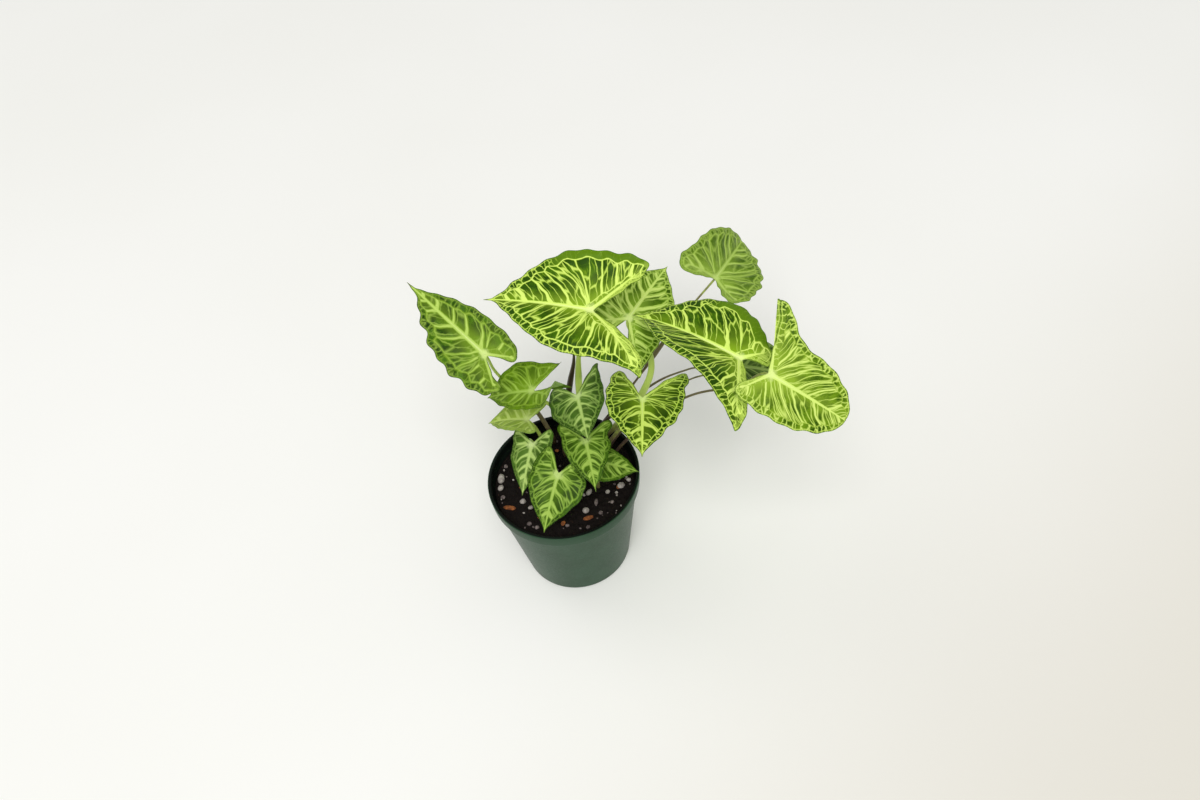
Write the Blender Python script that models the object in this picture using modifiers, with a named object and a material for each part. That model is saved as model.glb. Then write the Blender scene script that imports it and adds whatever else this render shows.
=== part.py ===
"""A young syngonium in its nursery pot: arrow-shaped leaves on long petioles, soil and a tapered pot.

Metres, +Z up. The origin is the middle of the pot's base, on the surface that it stands on, and -Y is
the front. The driving dimensions below are in millimetres and degrees, and MM turns them to metres.
"""

import math
from dataclasses import dataclass

import bmesh
import bpy
import numpy as np
from mathutils import Vector, geometry, noise

MM = 0.001
GAP = 0.3 * MM

# Pot
POT_HEIGHT = 93 * MM
RIM_RADIUS = 54 * MM
RIM_DEPTH = 9 * MM
BODY_TOP_RADIUS = 51.6 * MM
BASE_RADIUS = 39.4 * MM
POT_WALL = 1.2 * MM
BASE_PLATE = 1.8 * MM
FOOT_CHAMFER = 1.0 * MM
POT_SIDES = 48
DRAIN_HOLES = 6
DRAIN_RADIUS = 3.5 * MM
DRAIN_CIRCLE = 27 * MM

# Soil
SOIL_TOP = 84 * MM
SOIL_BASE = BASE_PLATE + GAP
SOIL_LUMPS = 1.4 * MM
SOIL_RINGS = 7

# Leaves
BLADE = 0.8 * MM
WAVE_LENGTH = 13 * MM
MARGIN_STEP = 4.4 * MM
INNER_STEP = 8.5 * MM
RIPPLE = 1.1 * MM
RIPPLE_WAVES = 15
STALK_RADIUS = 1.15 * MM
STALK_BURIED = 13 * MM
STALK_STRAIGHT = 3 * MM
STALK_SIDES_LEVEL = 1
STALK_RINGS = 5
RIB_SHARE = 0.2


@dataclass
class Leaf:
    """One leaf. Pairs are (right half, left half), as seen from above with the tip pointing away."""

    name: str
    foot: tuple  # x, y of the petiole in the soil
    via: list  # x, y, z that the petiole passes
    junction: tuple  # x, y, z where petiole and blade meet
    heading: float  # which way the midrib points, counterclockwise from +X
    pitch: float  # how far the midrib points below level at the junction
    roll: float  # right half up
    length: float  # midrib, junction to tip
    width: tuple  # widest half widths
    shoulder: float  # how far beyond the junction the blade is widest
    lobe: tuple  # junction to the end of each basal lobe
    lobe_angle: tuple  # between the tip's direction and each lobe
    fold: float  # each half rises from the midrib by this angle
    curl: tuple  # then curls down by this angle towards its margin
    droop: float  # bend of the midrib, junction to tip
    lobe_droop: tuple  # bend of each lobe, down
    twist: float = 0
    stalk: float = 1.0  # petiole thickness, as a share of the usual
    fullness: tuple = (0.11, 0.11)  # how far each lobe's inner margin swells, as a share of the length
    bluntness: float = 0.055  # half width near the tip, as a share of the length
    nib: float = 0.06  # the tip's narrow point, as a share of the length
    point: tuple = (0, 0)  # how pointed each lobe's end is, 1 at most
    wavy: tuple = (0.4, 0.4)  # how far each half's margin waves in and out, in mm
    sheath: tuple = ()  # petiole thickness at each via point, where it isn't even


LEAVES = [
    Leaf("leaf_tall_left", (-4, 36), [(-13, 48, 110), (-33, 46, 158)], (-36, 35, 190),
         135, -30, 22, 71, (20, 25), 8, (22, 28), (142, 148), 17, (9, 15), 6, (5, 4), 3,
         bluntness=0.045, nib=0.11, wavy=(0.5, 1.5), sheath=(1.3, 0.9)),
    Leaf("leaf_top", (11, 28), [(19, 37, 118), (21.5, 42.5, 141), (26, 35, 180)], (37, 26, 224),
         160, -7, 8, 72, (38, 35), 7, (46, 54), (131, 140), 20, (-9, 38), 16, (2, 26), -7, 1.3,
         fullness=(0.11, 0.8), nib=0.08, point=(0, 0.75), wavy=(0.7, 0.4), sheath=(1.5, 1.55, 0.85)),
    Leaf("leaf_back", (27, 26), [(63, 28, 132), (73, 40, 154)], (62, 58, 178),
         53, -2, -14, 60, (27, 26), 7, (43, 30), (142, 132), 11, (20, 5), 12, (7, 2), -1, 1.2,
         fullness=(0.3, 0.46), point=(0.35, 0), sheath=(1.8, 1.45)),
    Leaf("leaf_right", (20, 31), [(66, 40, 122), (96, 20, 160)], (124, -8, 195),
         132, -3, -4, 89, (34, 33), 27, (20, 69), (133, 120), 30, (32, 17), 22, (41, 11), -9, 0.85,
         fullness=(0.22, 0.45), bluntness=0.03, point=(0, 0.7), wavy=(0.6, 0.3), sheath=(0.9, 0.6)),
    Leaf("leaf_far_right", (34, 9), [(64, 14, 120), (92, 4, 151), (121, -21, 184)], (136, -41, 214),
         -29, 28, -33, 57, (24, 24), 13, (25, 45), (126, 116), 20, (16, 8), 18, (3, 6), -7, 0.8,
         fullness=(0.1, -0.09), bluntness=0.22, nib=0.01, point=(0, -0.4), wavy=(0.6, 0.5),
         sheath=(1, 0.9, 0.9)),
    Leaf("leaf_back_right", (27, 35), [(66, 54, 124), (77, 60.5, 134), (104, 76, 156)], (127, 84, 177),
         58, 13, -32, 63, (31, 28), 9, (35, 37), (136, 127), 28, (3, 15), 9, (-4, -3), -18, 0.8,
         fullness=(0.21, 0.24), bluntness=0.17, nib=0.02, wavy=(1.2, 0.5),
         sheath=(0.8, 1.9, 0.7)),
    Leaf("leaf_under_right", (34, 18), [(64, 32, 114), (98, 28, 140)], (129, 17, 158),
         3, 23, -9, 52, (26, 23), 7, (30, 21), (122, 120), 25, (10, 2), 18, (0, 0), -3, 0.75,
         sheath=(0.9, 0.65)),
    Leaf("leaf_centre", (27, 13), [(46, 13, 120)], (61, -9, 172),
         -98, -10, 5, 51, (24, 27), 5, (30, 36), (147, 126), 19, (20, 16), 7, (3, 6), 1,
         bluntness=0.09, nib=0.05, wavy=(0.7, 0.7)),
    Leaf("leaf_low_left", (3, 23), [(4, 30, 116), (1, 31, 130), (-6, 30, 142)], (-10, 25, 158),
         160, 15, 21, 41, (20, 15), 5, (30, 30), (143, 160), 22, (0, 14), 23, (-2, -42), 4,
         fullness=(0.11, 0.55), point=(0.9, -0.4)),
    Leaf("leaf_middle", (10, 18), [(16, 27, 114)], (19, 28, 142),
         -86, -4, -11, 43, (21, 19), 5, (22, 30), (132, 139), 9, (20, 12), 2, (12, 2), 0,
         fullness=(0.11, 0.25), point=(0, 0.6)),
    Leaf("leaf_middle_low", (12, -5), [(19, 0, 106)], (20, -2, 130),
         -87, 8, 2, 38, (16, 16), 3, (22, 23), (135, 122), 11, (13, 18), 17, (6, 6), 0,
         nib=0.08, wavy=(0.5, 0.8)),
    Leaf("leaf_front", (0, -7), [(0, -11, 100)], (-2, -18, 118),
         -117, 23, 5, 41, (19, 21), 5, (21, 13), (146, 135), 11, (10, 17), 24, (8, 5), 2, nib=0.05),
    Leaf("leaf_front_left", (-17, 29), [(-20, 27, 103)], (-18, 16, 112),
         -113, 20, -6, 37, (15, 15), 4, (19, 17), (119, 136), 7, (24, 14), 16, (8, 5), 0, 0.9),
    Leaf("leaf_small_left", (-9, 25), [(-13, 29, 108)], (-18, 27, 126),
         151, 16, 0, 39, (17, 15), 5, (18, 23), (129, 134), 19, (0, 0), 21, (-3, 0), 3, 0.9),
    Leaf("leaf_front_right", (23, -9), [(25, -9, 97)], (27, -6, 108),
         -13, 15, -6, 29, (14, 12), 4, (16, 15), (120, 130), 10, (21, 14), 14, (5, 4), -3, 0.9),
]

# A new leaf, still furled, on its own stalk
FURLED_PATH = [(3, 35), (12, 46, 122), (16, 45, 140), (21, 41.5, 165), (22.5, 39, 186)]
FURLED_SHARES = [1.5, 1.6, 2.0, 1.7, 0.8, 0.25]

# The bark, perlite and grit that show best: x, y, length and width in mm, and turn in degrees
GRAINS = [
    (-45, 10, 8, 5, 80), (-46, 3, 5, 4, 60), (-31, -12, 4.4, 4, 0), (16, -13, 6, 3.4, 50),
    (12, -28, 4.6, 4.4, 0), (39, -12, 5.2, 4.8, 20), (-26, -18, 3.6, 3, 0), (29, -15, 3.4, 3, 40),
    (45, -8, 3.4, 3, 0), (-28, -31, 3.6, 3, 0), (-23, -35, 3.4, 3, 0), (22, -32, 3.2, 2.8, 0),
    (12, -41, 3, 2.6, 0), (-2, -38, 3, 2.6, 0), (-45, -5, 3.4, 3, 0), (-41, 21, 3, 3, 0),
    (31, -24, 3, 2.6, 0), (20, -23, 6, 2.6, 80), (-41, -15, 9.5, 4, -18), (13, -34, 7.5, 4, 12),
    (-30, 27, 7, 3, 130),
]

COLOURS = {
    "pot": ((0.055, 0.095, 0.075), 0.5),
    "soil": ((0.018, 0.014, 0.011), 0.95),
    "leaf": ((0.24, 0.42, 0.05), 0.45),
}


def clear_scene():
    for obj in list(bpy.data.objects):
        bpy.data.objects.remove(obj)


def material(name):
    """A Principled BSDF in the named colour, made once."""
    found = bpy.data.materials.get(name)
    if found:
        return found
    colour, roughness = COLOURS[name]
    made = bpy.data.materials.new(name)
    made.use_nodes = True
    shader = made.node_tree.nodes["Principled BSDF"]
    shader.inputs["Base Color"].default_value = (*colour, 1)
    shader.inputs["Roughness"].default_value = roughness
    made.diffuse_color = (*colour, 1)
    return made


def add_object(name, mesh, collection, finish=None):
    obj = bpy.data.objects.new(name, mesh)
    collection.objects.link(obj)
    if finish:
        mesh.materials.clear()
        mesh.materials.append(material(finish))
    return obj


def applied(obj, weld=False):
    """The object with its modifiers, or a curve's bevel, made part of a mesh of its own."""
    bpy.context.view_layer.update()
    graph = bpy.context.evaluated_depsgraph_get()
    mesh = bpy.data.meshes.new_from_object(obj.evaluated_get(graph))
    if weld:
        shape = bmesh.new()
        shape.from_mesh(mesh)
        bmesh.ops.remove_doubles(shape, verts=shape.verts, dist=0.01 * MM)
        bmesh.ops.recalc_face_normals(shape, faces=shape.faces)
        shape.to_mesh(mesh)
        shape.free()
    name, place, homes = obj.name, obj.matrix_world.copy(), list(obj.users_collection)
    bpy.data.objects.remove(obj)
    result = bpy.data.objects.new(name, mesh)
    result.matrix_world = place
    homes[0].objects.link(result)
    return result


def turned(name, profile, sides, collection, finish=None):
    """A profile of (radius, height), outer side first and from the top down, turned about Z."""
    mesh = bpy.data.meshes.new(name)
    edges = [(i, i + 1) for i in range(len(profile) - 1)]
    mesh.from_pydata([(r, 0, z) for r, z in profile], edges, [])
    obj = add_object(name, mesh, collection)
    screw = obj.modifiers.new("turn", "SCREW")
    screw.steps = screw.render_steps = sides
    screw.use_merge_vertices = True
    screw.merge_threshold = 0.00001
    obj = applied(obj, weld=True)
    if finish:
        obj.data.materials.append(material(finish))
    return obj


def combine(obj, others, operation):
    """One Boolean of the object with a collection, applied, with the collection's objects removed."""
    cut = obj.modifiers.new(operation.lower(), "BOOLEAN")
    cut.operation = operation
    cut.operand_type = "COLLECTION"
    cut.collection = others
    cut.solver = "EXACT"
    done = applied(obj)
    for other in list(others.objects):
        bpy.data.objects.remove(other)
    return done


def pot_wall_radius(z):
    """Outside of the pot's body at a height."""
    share = z / (POT_HEIGHT - RIM_DEPTH)
    return BASE_RADIUS + (BODY_TOP_RADIUS - BASE_RADIUS) * min(share, 1)


def make_pot(collection, cutters):
    rim_bottom = POT_HEIGHT - RIM_DEPTH
    lip = 0.4 * MM
    profile = [
        (RIM_RADIUS - lip, POT_HEIGHT),
        (RIM_RADIUS, POT_HEIGHT - lip),
        (RIM_RADIUS - 0.5 * MM, rim_bottom),
        (BODY_TOP_RADIUS, rim_bottom),
        (BASE_RADIUS, FOOT_CHAMFER),
        (BASE_RADIUS - FOOT_CHAMFER, 0),
        (0, 0),
        (0, BASE_PLATE),
        (pot_wall_radius(BASE_PLATE) - POT_WALL, BASE_PLATE),
        (BODY_TOP_RADIUS - POT_WALL, rim_bottom),
        (RIM_RADIUS - 2 * POT_WALL, rim_bottom + 2 * POT_WALL),
        (RIM_RADIUS - 2 * POT_WALL, POT_HEIGHT - lip),
        (RIM_RADIUS - 2 * POT_WALL + lip, POT_HEIGHT),
        (RIM_RADIUS - lip, POT_HEIGHT),
    ]
    pot = turned("pot", profile, POT_SIDES, collection)
    for i in range(DRAIN_HOLES):
        angle = 2 * math.pi * (i + 0.5) / DRAIN_HOLES
        centre = Vector((DRAIN_CIRCLE * math.cos(angle), DRAIN_CIRCLE * math.sin(angle), BASE_PLATE / 2))
        add_cylinder("drain", centre, DRAIN_RADIUS, 4 * BASE_PLATE, 12, cutters)
    pot = combine(pot, cutters, "DIFFERENCE")
    pot.data.materials.clear()
    pot.data.materials.append(material("pot"))
    pot.data.shade_smooth()
    pot.data.set_sharp_from_angle(angle=math.radians(30))
    return pot


def add_cylinder(name, centre, radius, height, sides, collection):
    """A guide for a cut: left out of the render."""
    mesh = bpy.data.meshes.new(name)
    shape = bmesh.new()
    bmesh.ops.create_cone(shape, cap_ends=True, segments=sides, radius1=radius, radius2=radius, depth=height)
    shape.to_mesh(mesh)
    shape.free()
    obj = add_object(name, mesh, collection)
    obj.location = centre
    obj.hide_render = True
    obj.display_type = "WIRE"
    return obj


def soil_height(x, y):
    """The soil's rolling surface."""
    broad = noise.noise(Vector((x, y, 0)) / (18 * MM))
    fine = noise.noise(Vector((y, x, 5 * MM)) / (6 * MM))
    return SOIL_TOP + SOIL_LUMPS * (broad + 0.5 * fine)


def soil_edge_radius(z):
    """Inside of the pot's body, less the gap."""
    return pot_wall_radius(z) - POT_WALL - GAP


def add_lumps(collection):
    """The grains, bedded in the soil's surface."""
    for x, y, length, width, turn in GRAINS:
        mesh = bpy.data.meshes.new("lump")
        shape = bmesh.new()
        bmesh.ops.create_icosphere(shape, subdivisions=1, radius=0.5 * MM)
        bmesh.ops.scale(shape, verts=shape.verts, vec=(length, width, 0.8 * width))
        shape.to_mesh(mesh)
        shape.free()
        lump = add_object("lump", mesh, collection)
        lump.location = (x * MM, y * MM, soil_height(x * MM, y * MM) + 0.1 * width * MM)
        lump.rotation_euler.z = math.radians(turn)


def make_soil(feet, collection, lumps, cutters):
    """Soil to just under the rim, with lumps fused on and a plain hole for each petiole."""
    top_radius = soil_edge_radius(SOIL_TOP)
    steps = [top_radius * i / SOIL_RINGS for i in range(SOIL_RINGS, -1, -1)]
    profile = [(0, SOIL_BASE), (soil_edge_radius(SOIL_BASE), SOIL_BASE)]
    profile += [(radius, SOIL_TOP) for radius in steps]
    soil = turned("soil", profile[::-1], POT_SIDES, collection)
    for vert in soil.data.vertices:
        radius = math.hypot(vert.co.x, vert.co.y)
        if vert.co.z > SOIL_TOP / 2 and radius < top_radius - 0.1 * MM:
            vert.co.z = soil_height(vert.co.x, vert.co.y)
    add_lumps(lumps)
    soil = combine(soil, lumps, "UNION")
    for foot, radius in feet:
        height = STALK_BURIED + 8 * MM
        centre = Vector((*foot, SOIL_TOP - STALK_BURIED - GAP + height / 2))
        add_cylinder("stalk_hole", centre, radius + 2 * GAP, height, 10, cutters)
    soil = combine(soil, cutters, "DIFFERENCE")
    soil.data.materials.clear()
    soil.data.materials.append(material("soil"))
    return soil


def half_margin(leaf, side):
    """One half's margin from the tip round the lobe to the sinus, in the blade's plane, in mm."""
    width, lobe = leaf.width[side], leaf.lobe[side]
    angle = math.radians(leaf.lobe_angle[side])
    out = Vector((math.sin(angle), math.cos(angle)))
    inward = Vector((math.cos(angle), -math.sin(angle)))
    size = leaf.length
    round_end = 1 - leaf.point[side]
    back = out * (0.14 - 0.12 * round_end) * size
    tip = Vector((0, size))
    neck = Vector((0.014 * size, (1 - leaf.nib) * size))
    widest = Vector((width, leaf.shoulder))
    end = out * lobe
    sinus = Vector((0, -0.03 * size))
    spans = [
        (tip, tip.lerp(neck, 0.3), tip.lerp(neck, 0.7), neck),
        (neck, Vector((leaf.bluntness * size, (0.76 + 0.9 * leaf.bluntness) * size)),
         Vector((width, leaf.shoulder + 0.42 * (size - leaf.shoulder))), widest),
        (widest, Vector((width, leaf.shoulder - 0.22 * size)),
         end - inward * 0.145 * round_end * size - back, end),
        (end, end + inward * leaf.fullness[side] * round_end * size - back,
         Vector((0.09 * size, -0.10 * size)), sinus),
    ]
    points = [tip]
    for span in spans:
        points += geometry.interpolate_bezier(*span, 40)[1:]
    mirror = -1 if side else 1
    return waved(leaf, side, np.array([tuple(p) for p in points])) * (mirror, 1)


def waved(leaf, side, line):
    """A half's margin with its waves in and out, which fade towards the tip and the sinus."""
    run = np.gradient(line, axis=0)
    run /= np.linalg.norm(run, axis=1, keepdims=True)
    along = np.concatenate([[0], np.cumsum(np.linalg.norm(np.diff(line, axis=0), axis=1))])
    turn = 2 * math.pi * along / (WAVE_LENGTH / MM) + leaf.heading + 2 * side
    wave = 0.7 * np.sin(turn) + 0.45 * np.sin(0.63 * turn + 1) + 0.2 * np.sin(2.1 * turn)
    fade = np.clip(along / 20, 0, 1) * np.clip((along[-1] - along) / 20, 0, 1)
    out = np.stack([-run[:, 1], run[:, 0]], axis=1)
    moved = line + out * (leaf.wavy[side] * wave * fade)[:, None]
    moved[:, 0] = np.maximum(moved[:, 0], 0)
    return moved


def even_steps(points, step):
    """Points at even steps along a line, both ends kept."""
    along = np.concatenate([[0], np.cumsum(np.linalg.norm(np.diff(points, axis=0), axis=1))])
    count = max(int(round(along[-1] / step)), 4)
    marks = np.linspace(0, along[-1], count + 1)
    return np.stack([np.interp(marks, along, points[:, axis]) for axis in (0, 1)], axis=1)


def margin(leaf, step):
    """The blade's whole margin, counterclockwise from the tip, in mm."""
    right = even_steps(half_margin(leaf, 0), step)
    left = even_steps(half_margin(leaf, 1), step)
    return np.concatenate([left[:-1], right[:0:-1]])


def inside(points, outline, clear):
    """Which points lie within a closed outline, at least the given distance from it."""
    start, end = outline, np.roll(outline, -1, axis=0)
    x, y = points[:, :1], points[:, 1:]
    crosses = (start[:, 1] > y) != (end[:, 1] > y)
    rise = np.where(end[:, 1] == start[:, 1], 1, end[:, 1] - start[:, 1])
    at = start[:, 0] + (y - start[:, 1]) * (end[:, 0] - start[:, 0]) / rise
    within = (crosses & (x < at)).sum(axis=1) % 2 == 1
    run = end - start
    share = ((points[:, None] - start) * run).sum(axis=2) / (run**2).sum(axis=1)
    nearest = start + np.clip(share, 0, 1)[..., None] * run
    distance = np.linalg.norm(points[:, None] - nearest, axis=2).min(axis=1)
    return within & (distance > clear)


def flat_blade(leaf, margin_step, inner_step):
    """The blade as flat triangles, with points along the midrib: (points in mm, faces, margin count)."""
    edge = margin(leaf, margin_step)
    rib_count = max(int(leaf.length / inner_step), 3)
    rib = [(0, leaf.length * i / rib_count) for i in range(rib_count)]
    reach = leaf.length * 1.2
    rows = np.arange(-reach, reach, inner_step * 0.866)
    grid = [
        (x + (0.5 if row % 2 else 0) * inner_step, y)
        for row, y in enumerate(rows)
        for x in np.arange(-reach, reach, inner_step)
    ]
    grid = np.array([p for p in grid if abs(p[0]) > 0.5 * inner_step])
    grid = grid[inside(grid, edge, 0.5 * inner_step)]
    rib_points = np.array(rib)
    points = np.concatenate([edge, rib_points, grid])
    count = len(edge)
    ribs = [(count + i, count + i + 1) for i in range(rib_count - 1)]
    result = geometry.delaunay_2d_cdt([Vector(p) for p in points], ribs, [range(count)], 1, 1e-6)
    return np.array([tuple(p) for p in result[0]]), result[2], edge


def bent(angle, along, lift, size):
    """A strip bent down by an angle over its size: its new places along and up."""
    rate = np.where(np.abs(angle) < 1e-4, 1e-4, angle) / size
    return (1 / rate + lift) * np.sin(rate * along), (1 / rate + lift) * np.cos(rate * along) - 1 / rate


def ripple(leaf, points, edge):
    """How far the wavy margin lifts each point, in mm."""
    turn = np.arctan2(edge[:, 0], edge[:, 1])
    order = np.argsort(turn)
    radius = np.hypot(edge[:, 0], edge[:, 1])[order]
    around = np.arctan2(points[:, 0], points[:, 1])
    share = np.hypot(points[:, 0], points[:, 1]) / np.interp(around, turn[order], radius)
    height = RIPPLE / MM * (leaf.length / 60) ** 0.5
    wave = np.sin(RIPPLE_WAVES * around + leaf.heading) + 0.5 * np.sin(2.3 * RIPPLE_WAVES * around)
    return height * np.clip(share, 0, 1) ** 5 * wave * 0.7


def curved(leaf, points, lift):
    """Flat points, lifted off the blade's plane, with the blade's fold, curls, bends and twist, in mm."""
    x, y = points[:, 0], points[:, 1]
    right = x >= 0
    curl = np.radians(np.where(right, *leaf.curl))
    across, up = bent(curl, np.abs(x), lift, 0.42 * leaf.length)
    fold = math.radians(leaf.fold)
    across, up = across * math.cos(fold) - up * math.sin(fold), across * math.sin(fold) + up * math.cos(fold)
    lobes = np.radians(np.where(right, *leaf.lobe_droop))
    size = np.where(y > 0, leaf.length, 0.5 * leaf.length)
    along, up = bent(np.where(y > 0, math.radians(leaf.droop), lobes), y, up, size)
    across = np.where(right, across, -across)
    twist = math.radians(leaf.twist) * y / leaf.length
    return np.stack([across * np.cos(twist), along, up + across * np.sin(twist)], axis=1)


def directions(leaf):
    """The blade's own axes in the world: to its right, along the midrib, out of its upper side."""
    heading, pitch, roll = (math.radians(a) for a in (leaf.heading, leaf.pitch, leaf.roll))
    level_ahead = Vector((math.cos(heading), math.sin(heading), 0))
    ahead = level_ahead * math.cos(pitch) - Vector((0, 0, math.sin(pitch)))
    level = Vector((math.sin(heading), -math.cos(heading), 0))
    up = level.cross(ahead)
    right = level * math.cos(roll) + up * math.sin(roll)
    return right, ahead, right.cross(ahead)


def in_world(leaf, places):
    axes = np.array([tuple(axis) for axis in directions(leaf)])
    return (places @ axes + np.array(leaf.junction)) * MM


def make_blade(leaf, collection):
    points, faces, edge = flat_blade(leaf, MARGIN_STEP / MM, INNER_STEP / MM)
    places = in_world(leaf, curved(leaf, points, ripple(leaf, points, edge)))
    mesh = bpy.data.meshes.new(leaf.name)
    mesh.from_pydata(places.tolist(), [], faces)
    obj = add_object(leaf.name, mesh, collection)
    solid = obj.modifiers.new("thickness", "SOLIDIFY")
    solid.thickness = BLADE
    solid.offset = 0
    return applied(obj, weld=True)


def stalk(name, points, shares, radius, collection, handles=None):
    """A tube along a smooth line through the points, its radius a share of the given one at each."""
    curve = bpy.data.curves.new(name, "CURVE")
    curve.dimensions = "3D"
    curve.bevel_depth = radius
    curve.bevel_resolution = STALK_SIDES_LEVEL
    curve.resolution_u = STALK_RINGS
    curve.use_fill_caps = True
    spline = curve.splines.new("BEZIER")
    spline.bezier_points.add(len(points) - 1)
    for knot, place, share in zip(spline.bezier_points, points, shares):
        knot.co = place
        knot.radius = share
        knot.handle_left_type = knot.handle_right_type = "AUTO"
    foot, collar = spline.bezier_points[0], spline.bezier_points[1]
    for knot in (foot, collar):
        knot.handle_left_type = knot.handle_right_type = "FREE"
        knot.handle_left = knot.co - Vector((0, 0, 5 * MM))
        knot.handle_right = knot.co + Vector((0, 0, 5 * MM))
    if handles:
        top = spline.bezier_points[-2]
        top.handle_left_type = top.handle_right_type = "FREE"
        top.handle_left, top.handle_right = handles
    obj = bpy.data.objects.new(name, curve)
    collection.objects.link(obj)
    return applied(obj, weld=True)


def foot_points(x, y):
    """Where a stalk starts in the soil, and where it leaves it, straight up."""
    return [Vector((x, y, SOIL_TOP / MM - STALK_BURIED / MM)) * MM,
            Vector((x, y, SOIL_TOP / MM + STALK_STRAIGHT / MM)) * MM]


def make_petiole(leaf, collection):
    """The petiole, up to the junction's underside and on under the first part of the midrib."""
    _, ahead, up = directions(leaf)
    radius = STALK_RADIUS * leaf.stalk
    junction = Vector(leaf.junction) * MM - up * 0.55 * radius
    rib = curved(leaf, np.array([[0, RIB_SHARE * leaf.length]]), np.array([-0.2]))
    rib_end = Vector(in_world(leaf, rib)[0])
    points = foot_points(*leaf.foot) + [Vector(p) * MM for p in leaf.via] + [junction, rib_end]
    middle = leaf.sheath or [1.1] * len(leaf.via)
    shares = [1.5, 1.45, *middle, 0.85, 0.4]
    arrive = (ahead * 0.5 + up * 0.85).normalized()
    reach = min(0.3 * (junction - points[-3]).length, 16 * MM)
    handles = (junction - arrive * reach, junction + ahead * 0.06 * leaf.length * MM)
    return stalk("petiole", points, shares, radius, collection, handles)


def make_leaf(leaf, collection, pieces):
    blade = make_blade(leaf, collection)
    make_petiole(leaf, pieces)
    done = combine(blade, pieces, "UNION")
    done.data.materials.clear()
    done.data.materials.append(material("leaf"))
    done.data.shade_smooth()
    return done


def make_furled_leaf(collection):
    foot, *path = FURLED_PATH
    points = foot_points(*foot) + [Vector(p) * MM for p in path]
    made = stalk("furled_leaf", points, FURLED_SHARES, STALK_RADIUS, collection)
    made.data.materials.append(material("leaf"))
    return made


def main():
    clear_scene()
    plant = bpy.data.collections.new("potted_syngonium")
    pieces = bpy.data.collections.new("pieces_to_join")
    for collection in (plant, pieces):
        bpy.context.scene.collection.children.link(collection)
    make_pot(plant, pieces)
    feet = [(Vector(leaf.foot) * MM, 1.5 * STALK_RADIUS * leaf.stalk) for leaf in LEAVES]
    feet.append((Vector(FURLED_PATH[0]) * MM, FURLED_SHARES[0] * STALK_RADIUS))
    lumps = bpy.data.collections.new("lumps")
    bpy.context.scene.collection.children.link(lumps)
    make_soil(feet, plant, lumps, pieces)
    for leaf in LEAVES:
        make_leaf(leaf, plant, pieces)
    make_furled_leaf(plant)


main()
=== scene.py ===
"""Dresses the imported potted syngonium: fine veined blades, petioles, pot, soil, floor, light and camera."""

import random
from dataclasses import dataclass
from math import copysign, cos, pi, radians, sin, sqrt, tau

import bmesh
import bpy
import numpy as np
from mathutils import Euler, Matrix, Vector, geometry, noise


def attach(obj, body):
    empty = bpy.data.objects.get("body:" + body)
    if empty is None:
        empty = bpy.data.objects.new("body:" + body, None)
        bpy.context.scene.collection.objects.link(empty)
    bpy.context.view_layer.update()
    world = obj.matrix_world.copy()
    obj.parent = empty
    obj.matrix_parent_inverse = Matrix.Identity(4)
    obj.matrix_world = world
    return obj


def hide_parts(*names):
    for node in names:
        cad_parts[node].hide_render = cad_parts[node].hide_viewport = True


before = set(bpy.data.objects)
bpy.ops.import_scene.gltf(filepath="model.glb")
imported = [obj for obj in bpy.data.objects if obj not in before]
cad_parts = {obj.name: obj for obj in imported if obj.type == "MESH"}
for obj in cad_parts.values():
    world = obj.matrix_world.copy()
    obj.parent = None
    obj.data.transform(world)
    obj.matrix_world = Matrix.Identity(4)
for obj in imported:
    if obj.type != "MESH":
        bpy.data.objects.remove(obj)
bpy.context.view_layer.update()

MM = 0.001

# Camera
CAMERA_PLACE = Vector((34.0, -434.4, 686.4)) * MM
LOOK_DOWN = radians(50.1)
CAMERA_ROLL = radians(-9.2)
LENS = 31.2
SENSOR = 36

# Floor and light, in metres. Each lamp has a name, a place, a size and a power in watts
FLOOR = -0.1 * MM
FLOOR_REACH = 3.0
SKY_COLOUR = (1.0, 1.0, 0.99, 1)
SKY_STRENGTH = 0.48
LAMP_COLOUR = (1.0, 0.995, 0.98)
LAMP_AIM = Vector((0.04, 0.0, 0.1))
LAMPS = [("key", (-1.8, 1.6, 2.4), 1.8, 10), ("fill", (-0.2, -3.0, 4.6), 3.0, 195)]

# Pot, as in the solids but for the hollow under its base
POT_HEIGHT = 93 * MM
RIM_RADIUS = 54 * MM
RIM_DEPTH = 9 * MM
BODY_TOP_RADIUS = 51.6 * MM
BASE_RADIUS = 39.4 * MM
POT_WALL = 1.2 * MM
BASE_PLATE = 1.8 * MM
BASE_HOLLOW = 0.5 * MM  # how far the base plate stands off the floor
FOOT_CHAMFER = 1.0 * MM
FOOT_WIDTH = 4 * MM
DRAIN_HOLES = 6
DRAIN_RADIUS = 3.5 * MM
DRAIN_CIRCLE = 27 * MM
DRAIN_TURN = 0.09  # in radians, so that no corner of a hole meets an edge of the base
DRAIN_SIDES = 32
POT_SIDES = 160
POT_CREASE = 35
WELD = 0.01 * MM

# Soil
SOIL_TOP = 84 * MM
SOIL_GAP = 0.3 * MM  # between soil and pot
SOIL_LUMPS = 1.4 * MM
SOIL_SIDES = 340
SOIL_STEP = 0.7 * MM
CRUMB = 3.4 * MM
FINE_CRUMB = 1.5 * MM
SOIL_FADE = 1.5 * MM  # how far from the pot the crumbs begin

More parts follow.
